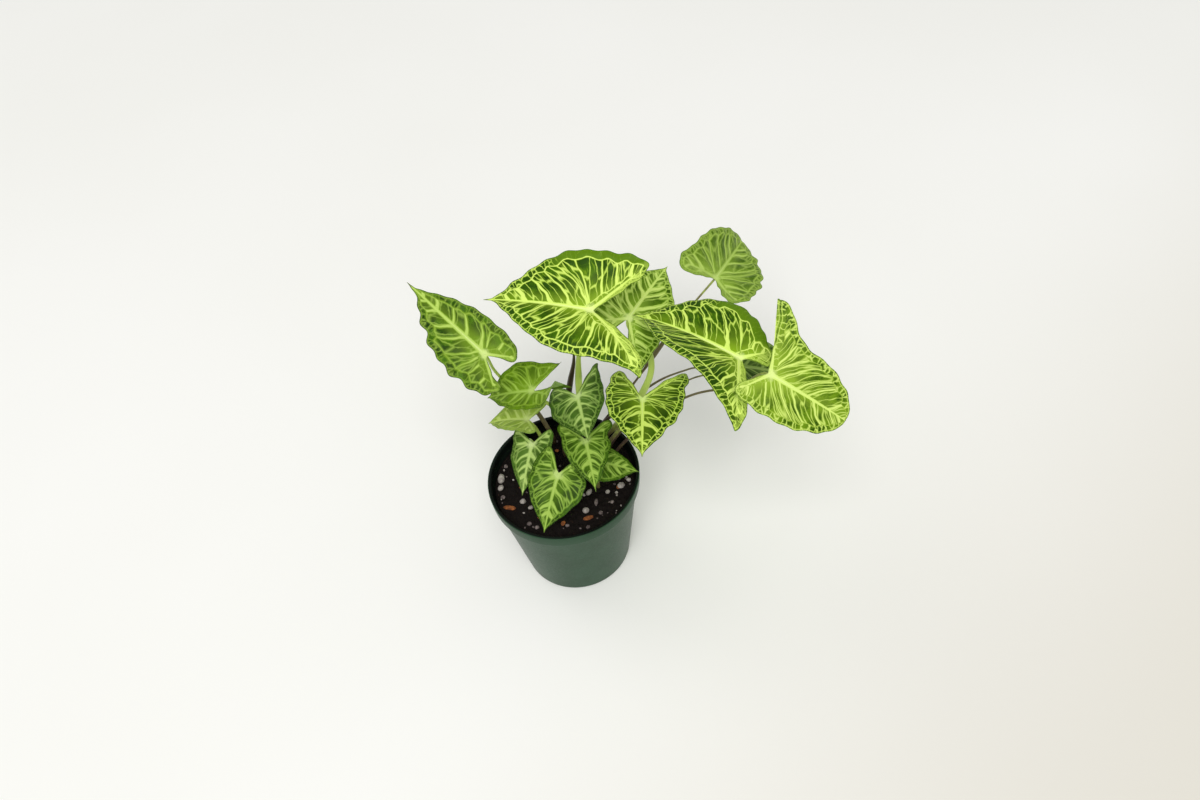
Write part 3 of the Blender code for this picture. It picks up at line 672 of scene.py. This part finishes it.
def row_ends(leaf, side):
    """Where each row starts and ends, from the tip to the sinus, how much it bows, and its inner share."""
    line = smooth_margin(leaf, side)
    edge = waved(leaf, side, line)
    arc = lengths(line)
    lobe_end, total = arc[3 * SPAN_STEPS], arc[-1]
    level = line[:, 1] - SWEEP * line[:, 0]
    cut = int(np.argmax(level < 0)) + 1
    angle = radians(leaf.lobe_angle[side])
    costa = np.array([sin(angle), cos(angle)]) * leaf.lobe[side] * COSTA

    count = round(leaf.length / ROW_STEP)
    heights = np.linspace(leaf.length, 0, count + 1)
    first = np.interp(heights, level[:cut][::-1], arc[:cut][::-1])
    fan_end = first[-1] + FAN_SHARE * (lobe_end - first[-1])
    costa_end = lobe_end - 0.2 * (lobe_end - fan_end)
    turn_end = lobe_end + 0.12 * (total - lobe_end)
    inner_end = lobe_end + 0.62 * (total - lobe_end)

    def stretch(start, end, count=None):
        steps = count or max(round((end - start) / ROW_STEP), 3)
        return np.linspace(start, end, steps + 1)[1:]

    fan = stretch(first[-1], fan_end)
    outer = stretch(fan_end, costa_end)
    marks = np.concatenate([first, fan, outer, stretch(costa_end, turn_end),
                            stretch(turn_end, inner_end, len(outer)), stretch(inner_end, total)])
    roots = np.interp(marks, [fan_end, costa_end, turn_end, inner_end], [0, 1, 1, 0])[:, None] * costa
    roots[:len(first), 1] = heights
    ends = np.stack([np.interp(marks, arc, edge[:, axis]) for axis in (0, 1)], axis=1)
    bow = np.interp(marks, [fan[0], fan_end], [BOW, 0])
    inner = np.interp(marks, [costa_end, turn_end], [0, 1])
    return roots, ends, bow, inner, edge, costa


def nearest(points, line):
    """Distance from each point to a line, and how far along the line its nearest place is."""
    start, run = line[:-1], np.diff(line, axis=0)
    size = (run**2).sum(axis=1)
    arc = lengths(line)[:-1]
    distance = np.empty(len(points))
    place = np.empty(len(points))
    for k in range(0, len(points), BATCH):
        part = points[k:k + BATCH, None]
        share = np.clip(((part - start) * run).sum(axis=2) / size, 0, 1)
        away = np.linalg.norm(part - start - share[..., None] * run, axis=2)
        best = away.argmin(axis=1)
        row = np.arange(len(best))
        distance[k:k + BATCH] = away[row, best]
        place[k:k + BATCH] = arc[best] + share[row, best] * np.sqrt(size[best])
    return distance, place


def wave(x, y, size, seed):
    """A gentle undulation between about -1 and 1."""
    a, b = x / size, y / size
    return (np.sin(1.9 * a + 1.1 * b + seed) + np.sin(2.3 * b - 1.3 * a + 2 * seed)
            + 0.7 * np.sin(3.7 * a + 2.9 * b + 3 * seed)) / 2.7


def steps_of(number, low, high):
    """Smooth step, for arrays."""
    share = np.clip((number - low) / (high - low), 0, 1)
    return share * share * (3 - 2 * share)


def vein_numbers(leaf, grid, seed):
    """Each row's place among the main veins, which run at every half, and their spacing at each point."""
    draw = random.Random(seed)
    span = VEIN_SPACING + 0.1 * leaf.length
    travelled = lengths(grid[:, int(0.6 * (grid.shape[1] - 1))])
    count = int(travelled[-1] / span) + 3
    veins = [(k - 0.6 + draw.uniform(-VEIN_SHIFT, VEIN_SHIFT)) * span for k in range(count)]
    lateral = np.interp(travelled, veins, np.arange(count) + 0.5)
    step = np.gradient(grid, axis=0)
    ahead = np.gradient(grid, axis=1)
    ahead /= np.maximum(np.linalg.norm(ahead, axis=2, keepdims=True), 1e-6)
    apart = np.abs(step[..., 0] * ahead[..., 1] - step[..., 1] * ahead[..., 0])
    return lateral, (apart / np.maximum(np.gradient(lateral), 1e-4)[:, None]).reshape(-1)


def half_grid(leaf, side, columns, seed):
    """One half's points on rows, x outwards, with what the vein pattern and the relief need at each."""
    roots, ends, bow, inner, line, costa = row_ends(leaf, side)
    t = np.linspace(0, 1, columns + 1)
    chord = ends - roots
    grid = roots[:, None] + chord[:, None] * t[:, None]
    across = np.stack([chord[:, 1], -chord[:, 0]], axis=1)
    grid += across[:, None] * (bow[:, None] * 4 * t * (1 - t))[..., None]
    grid[:, -1] = ends

    points = grid.reshape(-1, 2)
    x, y = points.T
    lateral, gap = vein_numbers(leaf, grid, seed)
    for_rows = (lateral, inner, np.linalg.norm(chord, axis=1))
    lateral, inner, room = (np.repeat(values, columns + 1) for values in for_rows)
    lateral = lateral + 0.06 * wave(x, y, 6, seed) + 0.08 * wave(y, x, 15, seed)
    margin, around = nearest(points, line)
    size = (leaf.length / USUAL_LENGTH) ** 0.6
    off_midrib = np.where(y > 0, x, np.hypot(x, y))
    midrib = size * (0.2 + 1.6 * (1 - np.clip(y / leaf.length, 0, 1)) ** 1.1)
    off_costa, place = nearest(points, np.array([[0, 0], costa]))
    rib = size * (0.25 + 0.95 * (1 - place / np.hypot(*costa)))
    collar = np.minimum(0.075 * leaf.length * (1 - 0.45 * inner), 0.3 * room)
    lobe_end = lengths(line)[3 * SPAN_STEPS]
    start = lobe_end * (1 - leaf.plain[side])
    plain = steps_of(around, start, start + 12) * steps_of(-around, -lobe_end - 4, -lobe_end)
    return {
        "points": points, "rows": len(roots), "lateral": lateral, "along": room * np.tile(t, len(roots)),
        "gap": gap, "margin": margin, "clear": np.minimum(off_midrib - midrib, off_costa - rib),
        "around": around, "collar": collar * (1 - 0.12 * np.cos(tau * lateral)),
        "reach": np.hypot(x, y), "inner": inner, "plain": plain * (leaf.plain[side] > 0),
    }


def relief(leaf, half, seed):
    """How far the blade's middle layer, and its ribs, stand off the plane, in mm."""
    x, y = half["points"].T
    margin, clear = half["margin"], half["clear"]
    size = (leaf.length / USUAL_LENGTH) ** 0.5
    quilt = np.abs(np.cos(pi * half["lateral"])) ** 0.8 * np.clip(half["gap"] / 10, 0, 1.3)
    quilt *= steps_of(clear, -0.5, 4) * steps_of(margin, 0, 3)
    swell = wave(x, y, 9, seed) * steps_of(margin, -1, 4) * steps_of(clear, -1, 6)
    ring = np.exp(-((margin - half["collar"]) / 0.8) ** 2) * steps_of(margin, 0, 2)
    groove = np.exp(-(np.maximum(clear, 0) / 0.9) ** 2)
    middle = 0.75 * size * quilt + 0.45 * swell - 0.18 * ring - 0.3 * groove
    return middle, 0.5 * size * groove * steps_of(margin, 0, 6)


KEPT = {
    "lateral": ("lateral", "along", "gap"), "edge": ("margin", "clear", "around"),
    "zone": ("collar", "reach", "inner"), "flat": ("x", "y", "plain"),
}


def blade_half(leaf, side, index, outline):
    """One half of a blade: its points flat and on both faces, quads, margin edges, and values to keep."""
    columns = round(COLUMN_SHARE * max(leaf.length, 1.5 * max(leaf.lobe)) / ROW_STEP)
    seed = 10 * index + side
    half = half_grid(leaf, side, columns, seed)
    middle, rib = relief(leaf, half, index)
    flat = half["points"] * ((-1, 1) if side else (1, 1)) + 0.0
    middle = middle + ripple(leaf, flat, outline)
    thick = BLADE_EDGE + (BLADE_CORE - BLADE_EDGE) * steps_of(half["margin"], 0, 3)
    half["lateral"] = half["lateral"] + SEEDS_APART * seed
    half["x"], half["y"] = flat[:, 0] + LEAVES_APART * index, flat[:, 1]

    width = columns + 1
    corner = (np.arange(half["rows"] - 1)[:, None] * width + np.arange(columns)).reshape(-1)
    quads = np.stack([corner, corner + 1, corner + width + 1, corner + width], axis=1)
    rim = np.arange(half["rows"]) * width + columns
    rim = np.stack([rim[:-1], rim[1:]], axis=1)
    made = {name: np.stack([half[key] for key in keys], axis=1) for name, keys in KEPT.items()}
    return made | {
        "points": flat, "top": curved(leaf, flat, middle + thick / 2),
        "bottom": curved(leaf, flat, middle - thick / 2 - rib),
        "quads": quads if side else quads[:, ::-1], "rim": rim if side else rim[:, ::-1],
    }


def blade_mesh(leaf, index):
    """The whole blade as a thin closed mesh whose corners keep what the vein pattern needs."""
    edges = [waved(leaf, side, smooth_margin(leaf, side)) for side in (0, 1)]
    outline = np.concatenate([edges[1] * (-1, 1), edges[0][::-1]])
    right, left = (blade_half(leaf, side, index, outline) for side in (0, 1))
    for key in ("quads", "rim"):
        left[key] = left[key] + len(right["points"])
    whole = {key: np.concatenate([right[key], left[key]]) for key in right}
    seam = np.unique(np.round(whole["points"], SEAM_DIGITS), axis=0, return_index=True, return_inverse=True)
    first, weld = seam[1], seam[2].reshape(-1)
    count = len(first)
    quads, under, walls = whole["quads"], whole["quads"][:, ::-1], whole["rim"][:, [1, 0, 0, 1]]
    sets = [(quads, weld[quads], 0), (under, weld[under] + count, 1),
            (walls, weld[walls] + (0, 0, count, count), 1)]

    faces, corners, finish = [], [], []
    for sources, spots, slot in sets:
        for source, spot in zip(sources.tolist(), spots.tolist()):
            kept = [k for k in range(4) if spot[k] != spot[k - 1]]
            if len(kept) < 3:
                continue
            faces.append([spot[k] for k in kept])
            corners += [source[k] for k in kept]
            finish.append(slot)

    places = in_world(leaf, np.concatenate([whole["top"][first], whole["bottom"][first]]))
    mesh = smooth_mesh(leaf.name + "_blade", places.tolist(), faces)
    for name in KEPT:
        keep_values(mesh, name, "CORNER", whole[name][corners])
    mesh.polygons.foreach_set("material_index", finish)
    mesh.set_sharp_from_angle(angle=radians(BLADE_CREASE))
    return mesh


# Petioles
def stalk_line(points, handles=None):
    """A smooth line through the points, as in the solids, and how far each of its places is in points."""
    curve = bpy.data.curves.new("line", "CURVE")
    curve.dimensions = "3D"
    curve.resolution_u = STALK_STEPS
    spline = curve.splines.new("BEZIER")
    spline.bezier_points.add(len(points) - 1)
    for knot, place in zip(spline.bezier_points, points):
        knot.co = place
        knot.handle_left_type = knot.handle_right_type = "AUTO"
    upright = Vector((0, 0, STALK_UPRIGHT))
    set_handles = [(knot, knot.co - upright, knot.co + upright) for knot in spline.bezier_points[:2]]
    if handles:
        set_handles.append((spline.bezier_points[-2], *handles))
    for knot, left, right in set_handles:
        knot.handle_left_type = knot.handle_right_type = "FREE"
        knot.handle_left, knot.handle_right = left, right
    line = [vert.co.copy() for vert in mesh_of(new_object("line", curve)).vertices]
    return line, np.arange(len(line)) / STALK_STEPS


def tube_mesh(name, line, radii, brown):
    """A closed tube along a line, in mm, slightly channelled, that keeps its stem values."""
    side = Vector((1, 0, 0))
    points, values = [], []
    travelled = 0.0
    for i, (place, radius, share) in enumerate(zip(line, radii, brown)):
        before, after = line[max(i - 1, 0)], line[min(i + 1, len(line) - 1)]
        ahead = (after - before).normalized()
        side = (side - ahead * side.dot(ahead)).normalized()
        other = ahead.cross(side)
        travelled += (place - before).length
        for k in range(STALK_SIDES):
            angle = tau * k / STALK_SIDES
            size = radius * (1 + 0.07 * cos(2 * angle) + 0.03 * cos(5 * angle + 0.02 * travelled))
            points.append(place + (side * cos(angle) + other * sin(angle)) * size)
            values.append((share, travelled, sin(angle) + 2 * cos(angle)))
    faces = ring_faces(len(line), STALK_SIDES)
    count, last = len(points), len(points) - STALK_SIDES
    for k in range(STALK_SIDES):
        following = (k + 1) % STALK_SIDES
        faces += [(count, following, k), (count + 1, last + k, last + following)]
    points += [line[0], line[-1]]
    values += [(brown[0], 0, 0), (brown[-1], travelled, 0)]
    mesh = smooth_mesh(name, [p * MM for p in points], faces)
    keep_values(mesh, "stem", "POINT", values)
    return mesh


def foot_points(x, y):
    """Where a stalk starts in the soil, and where it leaves it, straight up, in mm."""
    top = SOIL_TOP / MM
    return [Vector((x, y, top - STALK_BURIED)), Vector((x, y, top + STALK_STRAIGHT))]


def petiole_mesh(leaf):
    """The petiole, up to the junction's underside and on under the first part of the midrib."""
    _, ahead, up = directions(leaf)
    radius = STALK_RADIUS * leaf.stalk
    junction = Vector(leaf.junction) - up * (0.85 * radius + 0.25)
    rib = curved(leaf, np.array([[0, RIB_SHARE * leaf.length]]), np.array([-1.1]))
    rib_end = Vector(in_world(leaf, rib)[0]) / MM
    points = foot_points(*leaf.foot) + [Vector(p) for p in leaf.via] + [junction, rib_end]
    shares = [1.5, 1.45, *(leaf.sheath or [1.1] * len(leaf.via)), 0.85, 0.3]
    arrive = (ahead * 0.5 + up * 0.85).normalized()
    reach = min(0.3 * (junction - points[-3]).length, 16)
    handles = (junction - arrive * reach, junction + ahead * 0.06 * leaf.length)
    line, knots = stalk_line(points, handles)
    radii = radius * np.interp(knots, np.arange(len(shares)), shares)
    run = lengths(np.array([tuple(p) for p in line]))
    brown = np.clip(1.15 - run / run[-1] / leaf.browned * 0.8, 0, 1.1)
    return tube_mesh(leaf.name + "_petiole", line, radii, brown)


def furled_mesh():
    foot, *path = FURLED_PATH
    line, knots = stalk_line(foot_points(*foot) + [Vector(p) for p in path])
    radii = STALK_RADIUS * np.interp(knots, np.arange(len(FURLED_SHARES)), FURLED_SHARES)
    return tube_mesh("furled_leaf_roll", line, radii, 1.05 - 0.35 * knots / knots[-1])


def make_leaves():
    tops = {name: blade_material("blade_" + name, look) for name, look in LOOKS.items()}
    under = underside_material()
    stalks = petiole_material("petiole_green", "#B4CC5E", "#6C6240", "#3E2A20")
    for index, leaf in enumerate(LEAVES):
        pieces = [(blade_mesh(leaf, index), [tops[leaf.look], under]), (petiole_mesh(leaf), [stalks])]
        for mesh, paints in pieces:
            place_piece(mesh, paints, leaf.name)
    dark = petiole_material("petiole_dark", "#57502E", "#3D3223", "#2A1D18")
    place_piece(furled_mesh(), [dark], "furled_leaf")


# Pot
def pot_wall_radius(z):
    """Outside of the pot's body at a height."""
    return BASE_RADIUS + (BODY_TOP_RADIUS - BASE_RADIUS) * min(z / (POT_HEIGHT - RIM_DEPTH), 1)


def rounded(before, corner, after, radius, steps=5):
    """A corner of a profile, rounded off."""
    corner = Vector(corner)
    start = corner + (Vector(before) - corner).normalized() * radius
    end = corner + (Vector(after) - corner).normalized() * radius
    shares = [k / steps for k in range(steps + 1)]
    return [start.lerp(corner, share).lerp(corner.lerp(end, share), share) for share in shares]


def pot_profile():
    """(radius, height) round the pot's wall, each corner with its rounding."""
    rim_bottom = POT_HEIGHT - RIM_DEPTH
    inner_rim = RIM_RADIUS - 2 * POT_WALL
    foot_inside = BASE_RADIUS - FOOT_WIDTH
    corners = [
        (RIM_RADIUS, POT_HEIGHT, 0.55), (RIM_RADIUS - 0.5 * MM, rim_bottom, 0.35),
        (BODY_TOP_RADIUS, rim_bottom, 0.4), (BASE_RADIUS + 0.15 * MM, 2 * FOOT_CHAMFER, 0.8),
        (BASE_RADIUS - FOOT_CHAMFER, 0, 0.4), (foot_inside, 0, 0.4),
        (foot_inside - 0.6 * MM, BASE_HOLLOW, 0.2), (0, BASE_HOLLOW, 0),
        (0, BASE_PLATE, 0), (pot_wall_radius(BASE_PLATE) - POT_WALL, BASE_PLATE, 0.8),
        (BODY_TOP_RADIUS - POT_WALL, rim_bottom, 0.6), (inner_rim, rim_bottom + 2 * POT_WALL, 0.8),
        (inner_rim, POT_HEIGHT, 0.5),
    ]
    profile = []
    for i, (radius, height, size) in enumerate(corners):
        if not size:
            profile.append(Vector((radius, height)))
            continue
        before, after = corners[i - 1][:2], corners[(i + 1) % len(corners)][:2]
        profile += rounded(before, (radius, height), after, size * MM)
    return profile


def turned_pot():
    """The pot without its drain holes, turned from its profile."""
    shape = bmesh.new()
    line = [shape.verts.new((p.x, 0, p.y)) for p in pot_profile()]
    edges = [shape.edges.new(ends) for ends in zip(line, line[1:] + line[:1])]
    bmesh.ops.spin(shape, geom=line + edges, cent=(0, 0, 0), axis=(0, 0, 1), angle=tau,
                   steps=POT_SIDES, use_merge=True)
    bmesh.ops.remove_doubles(shape, verts=shape.verts, dist=WELD)
    bmesh.ops.recalc_face_normals(shape, faces=shape.faces)
    return new_object("nursery_pot", mesh_from(shape, "nursery_pot"))


def drain_plugs():
    """What the drain holes take away."""
    shape = bmesh.new()
    for i in range(DRAIN_HOLES):
        angle = tau * (i + 0.5) / DRAIN_HOLES
        place = Vector((DRAIN_CIRCLE * cos(angle), DRAIN_CIRCLE * sin(angle), BASE_PLATE / 2))
        move = Matrix.Translation(place) @ Matrix.Rotation(DRAIN_TURN, 4, "Z")
        bmesh.ops.create_cone(shape, cap_ends=True, segments=DRAIN_SIDES, radius1=DRAIN_RADIUS,
                              radius2=DRAIN_RADIUS, depth=4 * BASE_PLATE, matrix=move)
    return new_object("drain_plugs", mesh_from(shape, "drain_plugs"))


def make_pot():
    pot, plugs = turned_pot(), drain_plugs()
    cut = pot.modifiers.new("drains", "BOOLEAN")
    cut.object = plugs
    cut.operation = "DIFFERENCE"
    cut.solver = "EXACT"
    mesh = mesh_of(pot)
    mesh.name = "nursery_pot_wall"
    bpy.data.objects.remove(plugs)
    mesh.shade_smooth()
    mesh.set_sharp_from_angle(angle=radians(POT_CREASE))
    # Faces inside the wall and within the rim take the second material: painted shade in the pot's hollow.
    for face in mesh.polygons:
        radius, z = face.center.xy.length, face.center.z
        inside = radius < pot_wall_radius(z) - POT_WALL / 2 and z > BASE_PLATE - 0.1 * MM
        in_rim = z > POT_HEIGHT - RIM_DEPTH and radius < RIM_RADIUS - POT_WALL
        face.material_index = int(inside or in_rim)
    outside_paint = pot_material("pot_plastic", "#29452F", "#2F4D37", 0.1)
    # The same plastic made near-black: painted shade for the inside.
    shaded_inside_paint = pot_material("pot_plastic_inside_painted_shade", "#0A100C", "#101813", 0.08)
    place_piece(mesh, [outside_paint, shaded_inside_paint], "pot")


# Soil
def soil_height(x, y):
    """The soil's rolling surface, as in the solids."""
    broad = noise.noise(Vector((x, y, 0)) / (18 * MM))
    fine = noise.noise(Vector((y, x, 5 * MM)) / (6 * MM))
    return SOIL_TOP + SOIL_LUMPS * (broad + 0.5 * fine)


def crumb(x, y, size, seed):
    """Rounded crumbs of one size side by side, from 0 between them to about 1 on top."""
    spot = Vector((x, y, 0)) / size + Vector((seed, seed, seed))
    near = noise.voronoi(spot)[0][0]
    return max(0.0, 1 - near / 0.75) ** 0.6


def soil_radius(z):
    return pot_wall_radius(z) - POT_WALL - SOIL_GAP


def make_soil():
    top_radius = soil_radius(SOIL_TOP)
    rings = round(top_radius / SOIL_STEP)
    base = BASE_PLATE + SOIL_GAP
    circle = [(cos(tau * k / SOIL_SIDES), sin(tau * k / SOIL_SIDES)) for k in range(SOIL_SIDES)]
    points = [(0, 0, soil_height(0, 0))]
    for i in range(1, rings + 1):
        radius = top_radius * i / rings
        fade = min(1, (top_radius - radius) / SOIL_FADE)
        for across, ahead in circle:
            x, y = radius * across, radius * ahead
            lumps = 1.5 * crumb(x, y, CRUMB, 1) + 0.8 * crumb(x, y, FINE_CRUMB, 5) - 1.1
            rough = 0.5 * noise.noise(Vector((x, y, 0)) / (0.9 * MM))
            points.append((x, y, soil_height(x, y) + (lumps + rough) * fade * MM))
    points += [(soil_radius(base) * across, soil_radius(base) * ahead, base) for across, ahead in circle]
    faces = [(0, 1 + k, 1 + (k + 1) % SOIL_SIDES) for k in range(SOIL_SIDES)]
    faces += [(a, d, c, b) for a, b, c, d in ring_faces(rings + 1, SOIL_SIDES, 1)]
    faces.append(tuple(1 + rings * SOIL_SIDES + k for k in reversed(range(SOIL_SIDES))))
    place_piece(smooth_mesh("soil_peat", points, faces), [soil_material()], "soil")


# x, y, length, width in mm, and turn in degrees, of the grains that show best
PERLITE = [
    (-45, 10, 8, 5, 80), (-46, 3, 5, 4, 60), (-31, -12, 4.4, 4, 0), (16, -13, 6, 3.4, 50),
    (12, -28, 4.6, 4.4, 0), (39, -12, 5.2, 4.8, 20), (-26, -18, 3.6, 3, 0), (29, -15, 3.4, 3, 40),
    (45, -8, 3.4, 3, 0),
]
GRIT = [
    (-28, -31, 3.6, 3, 0), (-23, -35, 3.4, 3, 0), (22, -32, 3.2, 2.8, 0), (12, -41, 3, 2.6, 0),
    (-2, -38, 3, 2.6, 0), (-45, -5, 3.4, 3, 0), (-41, 21, 3, 3, 0), (31, -24, 3, 2.6, 0),
    (20, -23, 6, 2.6, 80),
]
BARK = [(-41, -15, 9.5, 4, -18), (13, -34, 7.5, 4, 12), (-30, 27, 7, 3, 130)]


def add_grain(shape, row, angular, draw):
    """Adds one grain bedded in the soil: a dented lump, or a squarer piece with facets for bark."""
    x, y, length, width, turn = row
    size = Vector((length, width, width * (0.5 if angular else 0.85)))
    shift = Vector([draw.uniform(0, 50) for _ in range(3)])
    tilt = draw.uniform(-0.25, 0.25)
    place = Vector((x * MM, y * MM, soil_height(x * MM, y * MM) + 0.25 * size.z * MM))
    move = Matrix.LocRotScale(place, Euler((tilt, 0, radians(turn))), Vector((MM, MM, MM)))
    for vert in bmesh.ops.create_icosphere(shape, subdivisions=3, radius=0.5)["verts"]:
        spot = vert.co * 3.2 + shift
        dent = 0.16 * noise.noise(spot) + 0.07 * noise.noise(spot * 2.7)
        if angular:
            dent += 0.18 * (0.4 - noise.voronoi(vert.co * 2.2 + shift)[0][0])
            vert.co.z = copysign(abs(vert.co.z) ** 1.4 * 1.3, vert.co.z)
        vert.co = move @ ((1 + dent) * vert.co * size)


def make_grains(name, table, extra, sizes, angular, finish, seed):
    """The listed grains and more small ones at random, as one piece."""
    draw = random.Random(seed)
    rows = list(table)
    top_radius = pot_wall_radius(SOIL_TOP) / MM - 4.5
    for _ in range(extra):
        radius = top_radius * sqrt(draw.random())
        angle = tau * draw.random()
        length = draw.uniform(*sizes)
        rows.append((radius * cos(angle), radius * sin(angle), length,
                     length * draw.uniform(0.6, 0.95), draw.uniform(0, 180)))
    shape = bmesh.new()
    for row in rows:
        add_grain(shape, row, angular, draw)
    mesh = mesh_from(shape, name)
    mesh.shade_smooth()
    place_piece(mesh, [finish])


def make_top_dressing():
    perlite = grain_material("perlite", "#BDB6AE", "#8E8680", "#5E544D")
    grit = grain_material("grit", "#8C7F7C", "#4E4442", "#2A2422")
    bark = grain_material("bark", "#A4612E", "#6A3A1C", "#2E1A10")
    make_grains("perlite_grains", PERLITE, 26, (1.0, 2.4), False, perlite, 3)
    make_grains("grit_grains", GRIT, 60, (0.9, 2.2), False, grit, 5)
    make_grains("bark_pieces", BARK, 16, (2.0, 5.0), True, bark, 8)


# Stage
def make_floor():
    mesh = bpy.data.meshes.new("floor")
    corners = [(-1, -1), (1, -1), (1, 1), (-1, 1)]
    mesh.from_pydata([(x * FLOOR_REACH, y * FLOOR_REACH, FLOOR) for x, y in corners], [], [(0, 1, 2, 3)])
    mesh.materials.append(floor_material())
    new_object("floor", mesh)


def make_light():
    """Even studio light: a soft lamp to the left, and another above the camera."""
    world = bpy.data.worlds.new("studio")
    world.use_nodes = True
    sky = world.node_tree.nodes["Background"]
    sky.inputs["Color"].default_value = SKY_COLOUR
    sky.inputs["Strength"].default_value = SKY_STRENGTH
    bpy.context.scene.world = world
    for name, place, size, power in LAMPS:
        lamp = bpy.data.lights.new(name, "AREA")
        lamp.size = size
        lamp.energy = power
        lamp.color = LAMP_COLOUR
        obj = new_object(name, lamp)
        obj.location = place
        obj.rotation_euler = (LAMP_AIM - Vector(place)).to_track_quat("-Z", "Y").to_euler()


def make_camera():
    lens = bpy.data.cameras.new("camera")
    lens.lens = LENS
    lens.sensor_width = SENSOR
    camera = new_object("camera", lens)
    turn = Matrix.Rotation(pi / 2 - LOOK_DOWN, 4, "X") @ Matrix.Rotation(CAMERA_ROLL, 4, "Z")
    camera.matrix_world = Matrix.Translation(CAMERA_PLACE) @ turn
    bpy.context.scene.camera = camera


make_camera()
make_light()
make_floor()
make_leaves()
make_pot()
make_soil()
make_top_dressing()
bpy.context.scene.view_settings.view_transform = "Standard"
